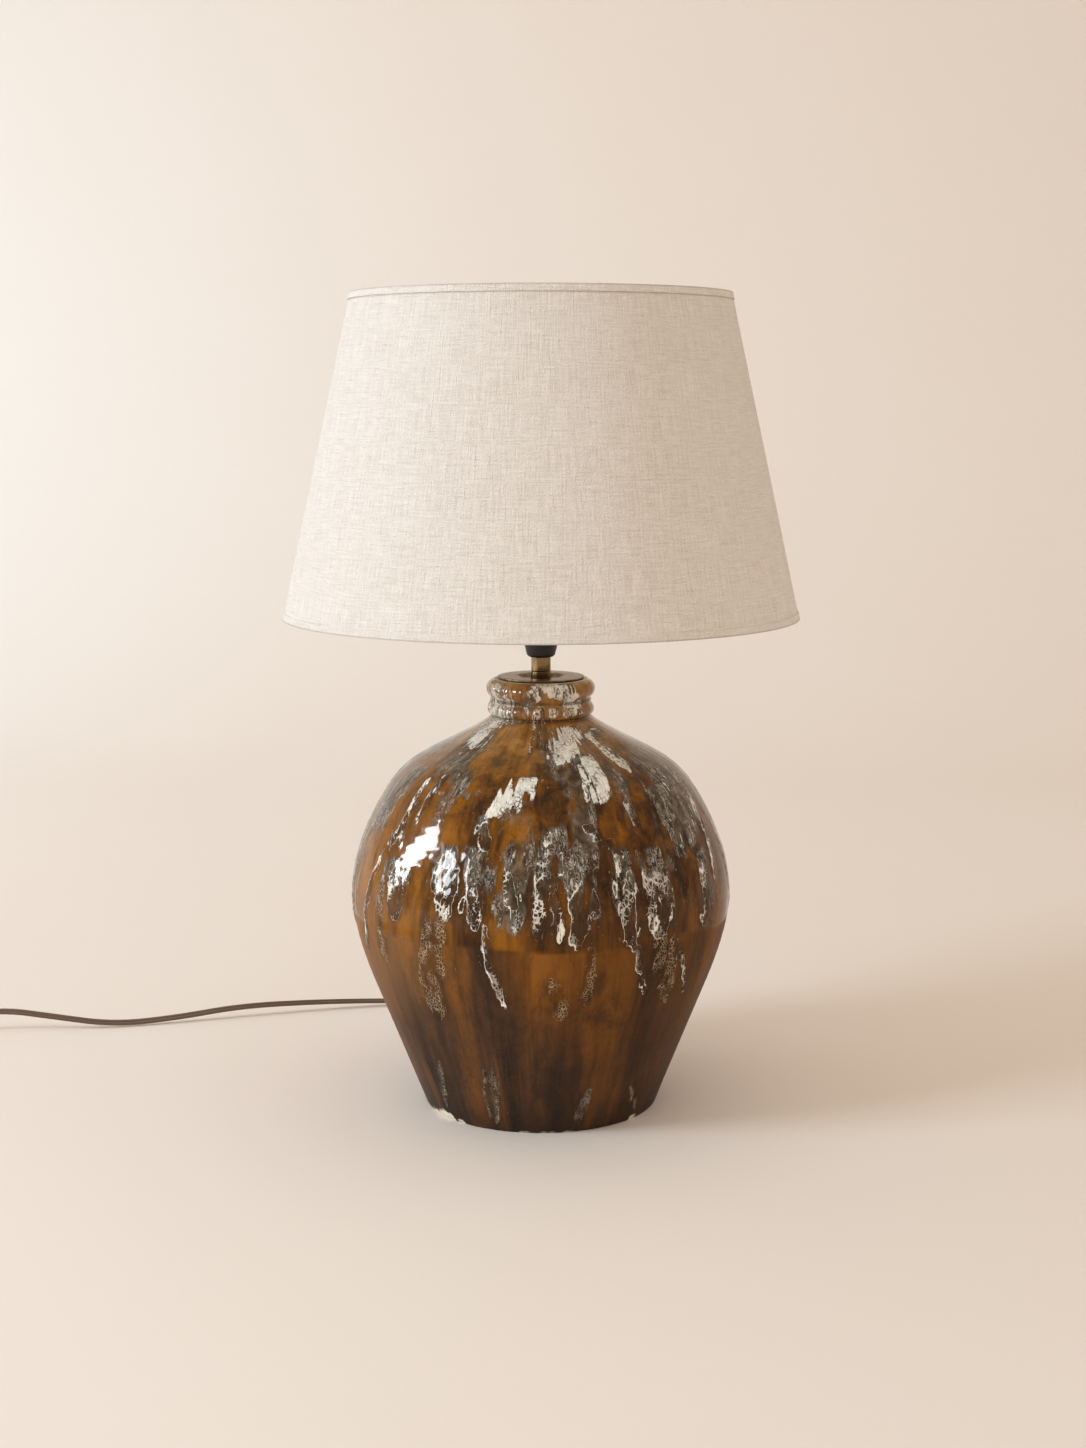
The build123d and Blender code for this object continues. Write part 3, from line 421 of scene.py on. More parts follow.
    def crawled(self, smoke):
        """Where the white lies: crawled white glaze and painted glints; rims, filled patches, lace, wisps in
        the smoke and specks.
        """
        swell = self.noise(self.tall, 90, 2, 0.5)
        # Rims painted wider on the side of each run that faces the window, as glints
        width = self.step(swell, 0.36, 0.66) * (0.05 + 0.16 * self.lee)
        wander = (self.noise(self.tall, 76, 2, 0.5) - 0.5) * 2.4 + 0.62
        rim = self.step(self.size(self.edge - wander), width, width * 0.6) * self.step(self.edge, 0.25, 0.45)
        wall = self.cells(self.squat, 330)
        web = self.noise(self.squat, 80, 3, 0.6) * 1.15 + self.lee * 0.18 - 0.645
        # Fewer painted glints on the shaded right side
        lace = self.step(wall, web, web - 0.07) * (1 - 0.6 * self.pool) * (1 - 0.35 * self.shade_and_dark_glaze)
        scales = self.step(self.edge, 0.4, 0.6) * lace
        nap = ((self.fibre - 0.5) * 0.9 + (self.fine - 0.5) * 0.7) * (1 - 0.6 * self.neck)
        patchy = self.solid * (0.5 + swell) + (self.ragged - 0.5) * 1.3 + nap
        crackle = self.step(wall, 0.17, 0.05) * self.step(self.noise(self.squat, 90, 3, 0.6), 0.4, 0.56)
        filled = self.step(patchy, 0.48, 0.58) * (1 - 0.85 * crackle) * (1 - 0.45 * self.pool)
        threads = self.step(self.ridges(self.around(GIRTH, 0.42), 300, 3, 0.62, 1.1), 0.92, 0.99)
        wisps = threads * smoke * self.step(self.noise(self.curl, 70, 2, 0.5), 0.44, 0.6) * 0.8
        specks = self.step(self.fine, 0.68, 0.74) * self.halo
        return self.most(rim, filled, scales * 0.92, wisps, specks * 0.8) * (1 - 0.75 * self.groove)

    def fired(self):
        """The finished material, its coats laid on in the order that they were poured."""
        look = self.look
        base = self.mix(self.gloss, self.satin_coat(), self.clear_coat())
        # Painted window light on the left of the glossy coat
        base = self.mix(self.painted_window_light * self.gloss * 0.28, base, tone(186, 126, 66))
        # Dark rims round the runs and along the neck's grooves: darker glaze, and painted shade
        base = self.mix(self.halo * 0.55, base, look.umber)
        base, smoke = self.smoked(base)
        shadow = self.ramp(self.fibre, (0.36, tone(30, 20, 13)), (0.7, tone(84, 62, 42)))
        base = self.mix(self.inside * 0.62, base, shadow)
        # White crawled glaze together with painted glints
        white = self.crawled(smoke)
        cream = self.mix(self.step(self.fine, 0.3, 0.6), tone(222, 211, 192), look.cream)
        base = self.mix(white, base, cream)
        netted = self.step(self.net + (self.ragged - 0.5) * 0.8, 0.36, 0.6)
        worn = self.step(self.noise(self.curl, 120, 2, 0.5), 0.4, 0.58)
        prints = netted * self.step(self.cells(self.squat, 480), 0.1, 0.04) * worn
        base = self.mix(netted * 0.25, base, look.umber)
        base = self.mix(prints * 0.75, base, tone(206, 182, 148))
        base = self.mix(self.bare, base, look.clay)
        rough = self.blend(self.gloss, 0.36 + 0.16 * self.grain, 0.07 + 0.06 * self.fibre)
        rough = self.blend(self.bare, rough, 0.85)
        wet = self.most(self.gloss, self.inside) * (0.36 - 0.12 * self.pool + 0.4 * self.crown)
        tooth = (self.grain + self.fibre) * (0.12 - 0.1 * self.gloss)
        relief = white * 0.8 + prints * 0.7 + tooth + self.ragged * (self.inside + self.veil) * 0.6
        return self.finish(base, rough, relief, 0.8 * MM, wet * (1 - self.bare))


def antique_brass(look):
    """Brass with dark and rubbed patches, specks and fine turning lines."""
    paint = Paint("antique_brass", {"Metallic": 1.0})
    x, y, z = paint.split(paint.place())
    lathe = paint.join((x * x + y * y) ** 0.5, 0.0, z)
    smudge = paint.noise(paint.place(), 90, 4, 0.6)
    turning = paint.noise(lathe, 2600, 2, 0.5)
    base = paint.mix(paint.step(smudge, 0.35, 0.7), look.patina, look.rubbed)
    base = paint.stain(base, paint.noise(paint.place(), 420, 2), 0.62, 0.75, 0.5, tone(66, 52, 38))
    return paint.finish(base, 0.15 + 0.2 * smudge + 0.06 * turning, turning + smudge, 0.03 * MM)


def plated(name, bright, dark, rough):
    """Plated or bare metal with faint stains and fine scratches."""
    paint = Paint(name, {"Metallic": 1.0})
    stain = paint.noise(paint.place(), 150, 4, 0.6)
    x, y, z = paint.split(paint.place())
    scratch = paint.noise(paint.join(x * 2, y * 2, z), 1600, 2, 0.5)
    base = paint.mix(paint.step(stain, 0.4, 0.75), bright, dark)
    return paint.finish(base, rough + 0.18 * stain + 0.06 * scratch, scratch, 0.02 * MM)


def moulded(name, light, dark, rough, grain=900, coat=0.0):
    """Plastic, rubber or ceramic with a fine skin and clouds of a lighter and a darker tone."""
    paint = Paint(name, {"Coat Weight": coat, "Coat Roughness": 0.08})
    cloud = paint.noise(paint.place(), 70, 4, 0.6)
    skin = paint.noise(paint.place(), grain, 2, 0.6)
    base = paint.mix(paint.step(cloud, 0.3, 0.75), dark, light)
    return paint.finish(base, rough + 0.14 * cloud + 0.05 * skin, skin + 0.4 * cloud, 0.03 * MM)


def slub_linen(look, name="slub_linen", shadow_under_top_hem=False):
    """Plain weave on the cloth's own map, in metres, with thick threads both ways and painted shade by the
    hem: a shadow line under the top hem on the linen, a dark line along the fold on the tape.
    """
    paint = Paint(name, {"Sheen Weight": 0.12, "Sheen Roughness": 0.6, "Specular IOR Level": 0.2})
    across, up, _ = paint.split(paint.node("ShaderNodeTexCoord", out="UV"))
    drift = paint.flat_noise(across * 60, up * 60, 0.0, 2, 0.5)
    stray = (drift - 0.5) * 1.4 * MM
    warp_place = across + stray
    weft_place = up + stray
    half_turn = math.pi / look.thread
    weave = paint.wave(warp_place * half_turn) * paint.wave(weft_place * half_turn) * 0.5 + 0.5
    weft_slub = paint.flat_noise(across * 46, weft_place * 760, 0.0, 2, 0.62)
    warp_slub = paint.flat_noise(warp_place * 760, up * 36, 4.0, 2, 0.62)
    thick = (weft_slub + warp_slub - 1) * 0.9
    knots = paint.flat_noise(across * 640, up * 640, 9.0, 3, 0.65)
    cloud = paint.flat_noise(across * 16, up * 16, 2.0, 3, 0.6)
    light = 0.5 + 0.14 * weave + thick * 0.7 + (knots - 0.5) * 0.6 + (cloud - 0.5) * 0.1
    base = paint.mix(paint.step(light, 0.0, 1.0), look.oatmeal, look.flax)
    shadow = tone(138, 112, 92)
    if shadow_under_top_hem:
        # Painted shadow under the top hem's edge
        top_hem = paint.size(up - (look.slant - look.hem_depth))
        base = paint.stain(base, top_hem, 0.9 * MM, 0.2 * MM, 0.25, shadow)
    else:
        # Painted shade along the tape's rolled fold
        fold = paint.size(up - look.hem_depth)
        base = paint.stain(base, fold, 1.5 * MM, 0.3 * MM, 0.4, shadow)
    height = weave * 0.3 + thick * 1.2 + knots * 0.9
    return paint.finish(base, 0.86 + 0.08 * weave, height, 1.1 * MM)


def cord_sheath(look):
    """Satin brown sheath with scuffs along its length."""
    paint = Paint("cord_sheath")
    along, across, _ = paint.split(paint.node("ShaderNodeTexCoord", out="UV"))
    scuff = paint.flat_noise(along * 90, across * 9, 0.0, 4, 0.65)
    dust = paint.flat_noise(along * 700, across * 30, 3.0, 2, 0.6)
    dark = tuple(channel * 0.55 for channel in look.umber)
    base = paint.mix(paint.step(scuff, 0.25, 0.8), dark, look.umber)
    base = paint.stain(base, dust, 0.62, 0.8, 0.35, tone(176, 152, 132))
    return paint.finish(base, 0.28 + 0.2 * scuff, scuff, 0.05 * MM)


def floor_paint(look):
    """A pale floor with faint clouds and a fine tooth."""
    paint = Paint("studio_floor", {"Specular IOR Level": 0.15})
    cloud = paint.noise(paint.place(), 1.6, 3, 0.55)
    tooth = paint.noise(paint.place(), 240, 3, 0.6)
    base = paint.mix(cloud * 0.2, look.floor, tone(226, 208, 192))
    return paint.finish(base, 0.8, tooth, 0.1 * MM)


made_finishes = {}


def finish_of(slot):
    """The procedural finish of one of the record's material slots, made once."""
    scene = bpy.context.scene
    fitting, cord, shade = scene.lamp_fitting, scene.lamp_cord, scene.lamp_shade
    white = tone(240, 238, 232)
    makers = {
        "glaze": lambda: Glaze(scene.lamp_jar).fired(),
        "antique_brass": lambda: antique_brass(fitting),
        "zinc_steel": lambda: plated("zinc_steel", tone(196, 196, 192), tone(150, 150, 146), 0.32),
        "black_plastic": lambda: moulded("black_moulding", fitting.black, tone(18, 17, 17), 0.38, 1400),
        "porcelain": lambda: moulded("porcelain", tone(240, 236, 226), tone(222, 214, 200), 0.3, 500, 0.4),
        "contact_brass": lambda: plated("contact_brass", tone(222, 186, 110), tone(168, 130, 70), 0.24),
        "bulb_metal": lambda: plated("bulb_metal", tone(218, 217, 214), tone(178, 176, 172), 0.26),
        "bulb_glass": lambda: moulded("opal_glass", tone(247, 245, 240), tone(238, 235, 228), 0.12, 300, 0.6),
        "bulb_insulator": lambda: moulded("black_glass", tone(28, 28, 30), tone(14, 14, 16), 0.14, 600, 0.5),
        "linen": lambda: slub_linen(shade, shadow_under_top_hem=True),
        "hem_tape": lambda: slub_linen(shade, "hem_tape"),
        "liner": lambda: moulded("shade_film", shade.lining, tone(240, 235, 224), 0.42, 260),
        "white_wire": lambda: moulded("coated_wire", white, tone(214, 210, 200), 0.34, 1100, 0.2),
        "felt": lambda: moulded("felt_washer", tone(66, 56, 48), tone(38, 32, 28), 0.86, 2200),
        "brown_rubber": lambda: moulded("brown_rubber", tone(78, 58, 46), tone(52, 38, 30), 0.5, 1300),
        "brown_cord": lambda: cord_sheath(cord),
        "brown_plastic": lambda: moulded("brown_moulding", cord.cocoa, tone(58, 42, 34), 0.3, 1500, 0.15),
        "nickel": lambda: plated("nickel", tone(222, 214, 200), tone(176, 168, 154), 0.2),
    }
    if slot not in made_finishes:
        made_finishes[slot] = makers[slot]()
    return made_finishes[slot]


def skin(name, grid, texture=None, ring=False, crease=math.radians(40)):
    """A closed mesh over a grid of points that wraps round, with a point where an end row is one place."""
    rows, columns = grid.shape[:2]
    place = np.arange(rows * columns).reshape(rows, columns)
    poles = [row for row in (0, rows - 1) if not ring and np.ptp(grid[row], axis=0).max() < 1e-9]
    for row in poles:
        place[row] = place[row, 0]
    bands = rows if ring else rows - 1
    faces, corners = [], []
    for low in range(bands):
        high = (low + 1) % rows
        for column in range(columns):
            square = [(low, column), (low, column + 1), (low + 1, column + 1), (low + 1, column)]
            if low in poles:
                square.pop(1)
            elif high in poles:
                square.pop(2)
            faces.append([int(place[row % rows, side % columns]) for row, side in square])
            corners.extend(square)
    used = np.unique(place)
    fresh = np.zeros(rows * columns, int)
    fresh[used] = np.arange(len(used))
    faces = [[int(fresh[corner]) for corner in face] for face in faces]
    mesh = bpy.data.meshes.new(name)
    mesh.from_pydata(grid.reshape(-1, 3)[used].tolist(), [], faces)
    if texture is not None:
        across, up = texture
        flat = np.array([(across[side], up[row]) for row, side in corners], np.float32)
        mesh.uv_layers.new(name="cloth").data.foreach_set("uv", flat.ravel())
    shell = bmesh.new()
    shell.from_mesh(mesh)
    if shell.calc_volume(signed=True) < 0:
        bmesh.ops.reverse_faces(shell, faces=shell.faces[:])
        shell.to_mesh(mesh)
    shell.free()
    mesh.shade_smooth()
    mesh.set_sharp_from_angle(angle=crease)
    piece = bpy.data.objects.new(name, mesh)
    bpy.context.scene.collection.objects.link(piece)
    return piece, used


def enlist(piece, body, slot):
    """Gives a piece the finish of its slot, and parents it to the body that it rides on."""
    piece.data.materials.clear()
    piece.data.materials.append(finish_of(slot))
    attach(piece, body)


def dress(piece, node, *others):
    """Puts a finished piece in the place of the CAD nodes that it stands for."""
    enlist(piece, body_of_node[node], slot_of_node[node])
    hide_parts(node, *others)
    return piece


def solid_of(node):
    mesh = frame["nodes"][node].data
    return BVHTree.FromPolygons([v.co for v in mesh.vertices], [p.vertices for p in mesh.polygons])


def outer_radius(solid, height):
    """The solid's radius at a height, met from outside, on its front."""
    found = solid.ray_cast(Vector((OFF_SEAM, -1, height)), Vector((0, 1, 0)))[0]
    return None if found is None else math.hypot(found.x, found.y)


def inner_radius(solid, height):
    """The bore's radius at a height, met from the axis, on its front."""
    found = solid.ray_cast(Vector((OFF_SEAM, 0, height)), Vector((0, -1, 0)))[0]
    return None if found is None else math.hypot(found.x, found.y)


def level(solid, radius, start, way):
    """The height of the solid's face over or under a radius, on its front."""
    return solid.ray_cast(Vector((OFF_SEAM, -radius, start)), Vector((0, 0, way)))[0].z


def fade(value, start, full):
    """From 0 at the start to 1 where it is full, straight between them."""
    return np.clip((value - start) / (full - start), 0, 1)


def between(value, rise, fall):
    """Full between two ends, each given by where it starts and where it is full."""
    return fade(value, *rise) * fade(value, *fall)


def run_along(line):
    """How far along a line each of its points lies."""
    return np.concatenate([[0], np.cumsum(np.linalg.norm(np.diff(line, axis=0), axis=1))])


def bell(width, reach, step=1.0):
    """The weights of a smooth mean over neighbours a step apart."""
    weights = np.exp(-0.5 * (np.arange(-reach, reach + 1) * step / width) ** 2)
    return weights / weights.sum()


def resample(points, step):
    """Points spaced about evenly along a closed line."""
    line = np.vstack([points, points[:1]])
    run = run_along(line)
    wanted = np.linspace(0, run[-1], max(4, int(run[-1] / step)), endpoint=False)
    return np.column_stack([np.interp(wanted, run, line[:, axis]) for axis in (0, 1)])


def soften(points, width, step):
    """A closed line with its corners rounded, by a weighted mean over each point's neighbours."""
    reach = max(1, int(3 * width / step))
    return sum(w * np.roll(points, reach - k, axis=0) for k, w in enumerate(bell(width, reach, step)))


def thin_out(points, slack):
    """Leaves out points of a closed line that lie on the run between their neighbours."""
    kept = [0]
    start = 0
    for end in range(2, len(points)):
        run = points[end] - points[start]
        gaps = points[start + 1 : end] - points[start]
        off = np.abs(run[0] * gaps[:, 1] - run[1] * gaps[:, 0]) / (np.hypot(*run) + 1e-12)
        if off.max() > slack:
            start = end - 1
            kept.append(start)
    return points[kept]


def spread(loop, columns):
    """A section's radii and heights, repeated for each column."""
    return [np.repeat(loop[:, [axis]], columns, axis=1) for axis in (0, 1)]


def turned(radius, height, angles, side=FRONT):
    """Points round the axis, with the angles counted from one side of the lamp."""
    return np.stack([-side * radius * np.sin(angles), side * radius * np.cos(angles), height], axis=-1)


def lathe(name, loop, columns=128, relief=None):
    """A turned piece from a closed section, with an optional relief that depends on angle and height."""
    angles = np.arange(columns) * TURN / columns
    radius, height = spread(loop, columns)
    if relief is not None:
        radius = radius + relief(angles[None, :], height, radius)
    return skin(name, turned(radius, height, angles), ring=True)[0]


def upright_section(node, count=260):
    """The closed section of a turned solid that has one wall at each height."""
    solid = solid_of(node)
    low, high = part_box(node)
    heights = np.linspace(low.z + 1e-6, high.z - 1e-6, count)
    outside = [(outer_radius(solid, z), z) for z in heights]
    inside = [(inner_radius(solid, z), z) for z in heights[::-1]]
    return np.array(outside + inside)


def flat_section(node, count=260):
    """The closed section of a turned solid that has one sheet at each radius."""
    solid = solid_of(node)
    low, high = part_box(node)
    middle = (low.z + high.z) / 2
    holes = [inner_radius(solid, z) for z in np.linspace(low.z + 1e-5, high.z - 1e-5, 24)]
    bore = min(hole for hole in holes if hole)
    radii = np.linspace(bore + 1e-5, high.x - 1e-5, count)
    above = [(r, level(solid, r, middle + 0.1, -1)) for r in radii]
    below = [(r, level(solid, r, middle - 0.1, 1)) for r in radii[::-1]]
    return np.array(above + below)


def turned_piece(name, node, section, soft, columns=128, relief=None, step=0.12 * MM):
    """A dressed piece turned from a section with rounded edges; a relief needs its points evenly spaced."""
    loop = soften(resample(section, step), soft, step)
    loop = thin_out(loop, 0.004 * MM) if relief is None else loop[::2]
    return dress(lathe(name, loop, columns, relief), node)


def screw_thread(pitch, depth, wall, bottom, top, runout=2 * MM):
    """A relief that cuts a right-hand thread into the wall between two radii and two heights."""

    def relief(angle, height, radius):
        groove = 0.5 - 0.5 * np.cos(TURN * height / pitch - angle)
        clear = between(height, (bottom, bottom + runout), (top, top - runout))
        return -depth * groove * clear * ((radius > wall[0]) & (radius < wall[1]))

    return relief


def sweep(name, path, outline, twist, up=(0, 0, 1), closed=False):
    """A tube of a given outline along a path, turned about it by an angle at each point."""
    if closed:
        run = np.roll(path, -1, axis=0) - np.roll(path, 1, axis=0)
    else:
        run = np.gradient(path, axis=0)
    run = run / np.linalg.norm(run, axis=1, keepdims=True)
    side = np.cross(run, np.array(up, float))
    side /= np.linalg.norm(side, axis=1, keepdims=True)
    over = np.cross(side, run)
    cosine, sine = np.cos(twist)[:, None, None], np.sin(twist)[:, None, None]
    wide, tall = outline[None, :, :1], outline[None, :, 1:]
    flat_x = wide * cosine - tall * sine
    flat_y = wide * sine + tall * cosine
    grid = path[:, None, :] + flat_x * side[:, None, :] + flat_y * over[:, None, :]
    if closed:
        return skin(name, grid, ring=True)[0]
    caps = [np.repeat(end[None, None, :], len(outline), axis=1) for end in (path[0], path[-1])]
    grid = np.concatenate([caps[0], grid, caps[1]])
    steps = run_along(path)
    steps = np.concatenate([[0], steps, steps[-1:]])
    return skin(name, grid, (np.linspace(0, 1, len(outline) + 1), steps), crease=math.radians(60))[0]


# Lead from the jar's cord hole to the switch, in millimetres, in the frame's axes
LEAD = (
    (0, 116.5, 29.6),
    (0, 124, 26.7),
    (0, 152, 15.8),
    (-9, 193, 5.5),
    (-38, 231, 3.2),
    (-88, 253, 3.4),
    (-146, 250, 4.8),
    (-209, 232, 8.8),
    (-272, 212, 10.8),
    (-328, 195, 5),
    (-381, 181, 3),
    (-432, 175, 12),
    (-480, 171, 20),
    (-524, 163, 12.5),
    (-553, 146, 7),
    (-566, 118, 8),
    (-566, 94, 8),
    (-566, 46, 8),
    (-566, 26, 8),
    (-566, -4.6, 3.9),
    (-566, -24.6, 3.9),
)
TAIL = ((-566, -35.4, 9.8), (-566, -50.4, 9.8), (-566, -79, 6.85), (-566, -94, 6.85))

# The coil: its middle and height in millimetres; the degrees between its points, in a layer and in the climb
COIL_CENTRE = (-529.4, -30.0)
COIL_LOW = 3.9
COIL_STEP = 24
LAYER_TURN = 810
CLIMB_TURN = 180

# How far the flat cord is turned on its edge, by the distance from the jar in metres
CORD_TURN = (
    (0.0, 0),
    (0.2, 12),
    (0.3, 24),
    (0.4, 66),
    (0.48, 40),
    (0.56, 62),
    (0.64, 80),
    (0.8, 60),
    (1.2, 48),
    (1.7, 62),
    (1.85, 0),
)


def coil_points(look):
    """Turns that spiral in on the floor, climb half a turn and spiral out on top."""
    outer, pitch = look.coil_radius / MM, look.coil_pitch / MM
    swell = 4 / (3 + math.cos(math.radians(COIL_STEP)))
    last = 2 * LAYER_TURN + CLIMB_TURN
    points = []
    for turned in range(0, last + 1, COIL_STEP):
        wound = min(turned, LAYER_TURN, last - turned)
        rise = min(1, max(0, (turned - LAYER_TURN) / CLIMB_TURN))
        radius = (outer - pitch * wound / 360) * swell
        angle = math.radians(180 + turned)
        x = COIL_CENTRE[0] + radius * math.cos(angle)
        points.append((x, COIL_CENTRE[1] + radius * math.sin(angle), COIL_LOW + pitch * rise))
    return points


def smooth_line(points):
    """Points read from a smooth spline that has the given ones as its control points."""
    curve = bpy.data.curves.new("cord_line", "CURVE")
    curve.dimensions = "3D"
    spline = curve.splines.new("NURBS")
    spline.points.add(len(points) - 1)
    for point, place in zip(spline.points, points):
        point.co = (*[MM * value for value in place], 1)
    spline.order_u = 3
    spline.use_endpoint_u = True
    spline.resolution_u = 6
    holder = bpy.data.objects.new("cord_line", curve)
    bpy.context.scene.collection.objects.link(holder)
    bpy.context.view_layer.update()
    mesh = bpy.data.meshes.new_from_object(holder.evaluated_get(bpy.context.evaluated_depsgraph_get()))
    path = np.array([v.co[:] for v in mesh.vertices])
    bpy.data.objects.remove(holder)
    bpy.data.curves.remove(curve)
    bpy.data.meshes.remove(mesh)
    apart = np.linalg.norm(np.diff(path, axis=0), axis=1) > 1e-6
    return path[np.concatenate([[True], apart])]


def twin_outline(width, thickness):
    """Two round cores side by side with a groove between them."""
    lobe = thickness / 2
    shift = width / 2 - lobe
    sweep_angles = np.radians(np.linspace(-118, 118, 9))
    right = [(shift + lobe * math.cos(a), lobe * math.sin(a)) for a in sweep_angles]
    left = [(-x, -y) for x, y in right]
    dip = 0.62 * lobe
    return np.array(right + [(0, dip)] + left + [(0, -dip)])


class LAMP_OT_cord(bpy.types.Operator):
    """Lays the flat twin cord from the jar through the switch and the coil to the plug"""

    bl_idname = "lamp.cord"
    bl_label = "Cord"

    def execute(self, context):
        look = context.scene.lamp_cord
        path = smooth_line([*LEAD, *coil_points(look), *TAIL])
        places, turns = zip(*CORD_TURN)
        twist = np.radians(np.interp(run_along(path), places, turns))
        blur = np.hanning(41) / np.hanning(41).sum()
        twist = np.convolve(np.pad(twist, 20, mode="edge"), blur, mode="valid")
        cord = sweep("flex_cord", path, twin_outline(look.width, look.thickness), twist)
        dress(cord, "cord_lead", "cord_middle", "cord_coil", "cord_tail")
        tie = self.tie()
        pieces = [frame["nodes"][node] for node in slot_of_node if node.startswith("switch_")]
        pieces += [frame["nodes"]["plug_pins"], bpy.data.objects["plug_moulding"]]
        return {"FINISHED"}

    def tie(self):
        """A coated wire round the turns, with its ends twisted together."""
        low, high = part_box("coil_tie")
        depth, middle = (low.y + high.y) / 2, (low.z + high.z) / 2
        edge, corner, tail = 0.4 * MM, 2 * MM, 9 * MM
        right = high.x - tail
        centres = (
            (right - corner, high.z - corner, 0),
            (low.x + corner, high.z - corner, 90),
            (low.x + corner, low.z + corner, 180),
            (right - corner, low.z + corner, 270),
        )
        reach = corner - edge
        bends = []
        for x, z, start in centres:
            for angle in np.radians(np.linspace(start, start + 90, 7)):
                bends.append((x + reach * math.cos(angle), depth, z + reach * math.sin(angle)))
        angles = np.linspace(0, TURN, 16, endpoint=False)
        strip = np.column_stack([1.9 * MM * np.cos(angles), edge * np.sin(angles)])
        flat = np.zeros(len(bends))
        loop = sweep("tie_loop", np.array(bends), strip[:, ::-1], flat, up=(0, 1, 0), closed=True)
        along = np.linspace(0, 1, 30)
        start = right - edge
        line = [(start + share * (high.x - start), depth, middle) for share in along]
        ends = sweep("tie_ends", np.array(line), strip * (0.42, 1.5), along * 3.5 * math.pi)
        for part in (loop, ends):
            enlist(part, "base", slot_of_node["coil_tie"])
        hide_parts("coil_tie")
        ends.parent = loop
        return loop


# Runs of glaze on the front: angle and height at the top, angle and height at the tip, half width, kind.
# Angles are degrees from the front, to the right; heights and widths are millimetres.
RUNS = (
    (-55, 337, -50, 303, 12, "pale"),
    (22, 338, 24, 326, 9, "pale"),
    (12, 320, 14, 312, 4, "pale"),
    (-60, 306, -38, 289, 6, "veil"),
    (-58, 300, -30, 262, 8, "veil"),
    (-66, 310, -48, 290, 9, "pale"),
    (29, 306, 11, 284, 10, "pale"),
    (26, 288, 23, 258, 8, "pale"),
    (21, 291, 19, 259, 11, "veil"),
    (40, 300, 44, 276, 4, "pale"),
    (60, 304, 40, 296, 5, "lace"),
    (-1, 322, -7, 290, 4, "line"),
    (-4, 277, -19, 250, 10, "pale"),
    (-18, 252, -17, 227, 5, "lace"),
    (-45, 276, -49, 238, 3, "line"),
    (-52, 272, -50, 220, 2.5, "line"),
    (-51, 257, -62, 192, 4, "line"),
    (-49, 215, -48, 170, 10, "lace"),
    (-31, 230, -28, 176, 8, "lace"),
    (-20, 230, -19, 172, 8, "lace"),
    (-16, 178, -12, 110, 3.5, "line"),
    (-32, 178, -36, 92, 10, "net"),
    (-8, 236, -8, 170, 8, "veil"),
    (-10, 230, -7, 172, 4, "lace"),
    (2, 245, 0, 166, 7, "lace"),
    (17, 262, 10, 200, 7, "veil"),
    (10, 218, 10.5, 158, 9, "lace"),
    (14, 160, 15.6, 112, 4, "net"),
    (3, 137, 5, 100, 5, "net"),
    (17, 246, 23, 229, 4, "line"),
    (24, 229, 28, 154, 6, "lace"),
    (27.5, 160, 35, 116, 3, "line"),
    (36.6, 226, 37, 160, 11, "lace"),
    (36.4, 165, 46, 105, 8, "net"),
    (44, 157, 52, 108, 2.2, "line"),
    (34, 260, 35, 241, 3, "line"),
    (78, 270, 58, 230, 7, "veil"),
    (72, 257, 65, 191, 3, "line"),
    (60, 218, 57, 160, 6, "lace"),
    (-62, 194, -67, 134, 3, "line"),
    (-55, 198, -55, 133, 6, "net"),
    (66, 288, 57, 222, 13, "veil"),
    (47, 266, 50, 214, 9, "veil"),
    (-66, 276, -72, 225, 10, "veil"),
    (-21, 58, -21.5, 6, 4, "scar"),
    (21, 40, 18, 7, 3, "scar"),
    (-43, 57, -49, 11, 3, "scar"),
    (40, 35, 50, 8, 2.5, "scar"),
)

# What each kind of run adds to the glaze's fields
KINDS = {
    "lace": {"run": 1.0, "halo": 0.9, "veil": 1.0},
    "pale": {"run": 1.0, "solid": 0.8, "halo": 0.6, "veil": 0.45},
    "line": {"run": 0.8, "halo": 0.5},
    "veil": {"veil": 1.0, "run": 0.36, "halo": 0.4},
    "net": {"net": 1.0, "halo": 0.35},
    "scar": {"veil": 0.6, "net": 0.6, "halo": 0.5},
}

# Chips in the foot's edge: angle, half angle and height
CHIPS = (
    (-53, 7, 6.5),
    (-63, 4, 3.6),
    (-42, 2.5, 3.2),
    (-8, 3, 1.7),
    (3, 4, 1.5),
    (13, 3, 1.6),
    (50, 2.6, 4.2),
    (121, 3, 2.4),
    (196, 5, 2.2),
)


def ripples(angle, along, seed, waves, around, pace):
    """Seamless noise round the jar, about -1 to 1: a sum of seeded waves."""
    draw = random.Random(seed)
    total = 0
    for _ in range(waves):
        count, rate, phase = draw.randint(*around), draw.uniform(*pace), draw.uniform(0, TURN)
        total = total + np.cos(count * angle + rate * along + phase)
    return total / math.sqrt(waves / 2) / 1.6


# The root of the neck, filled out where the glaze runs off it: radius and height
FLARE = ((81, 285), (70.4, 290.7), (61.6, 295.4), (52.6, 300.1), (43.6, 305), (39, 308.6))

# How much wider than its run a kind of field lies
SPREADS = {"halo": 1.9, "veil": 1.35}

# Heights in millimetres where a thing starts and is full, at its lower end and, if it has one, its upper end
SMOOTHED = ((6, 16), (309, 303))
LUMPY = ((4, 16), (306, 298))
HAZY = ((205, 265), (312, 302))
PALE_COLLAR = (308, 314)
THICK_GLAZE = (1, 5)

# The neck's turned lines in millimetres, and the ends of the jar where its points are closer
NECK_LINES = (322.6, 308.6)
CLOSE_BELOW, CLOSE_ABOVE = 9 * MM, 303 * MM


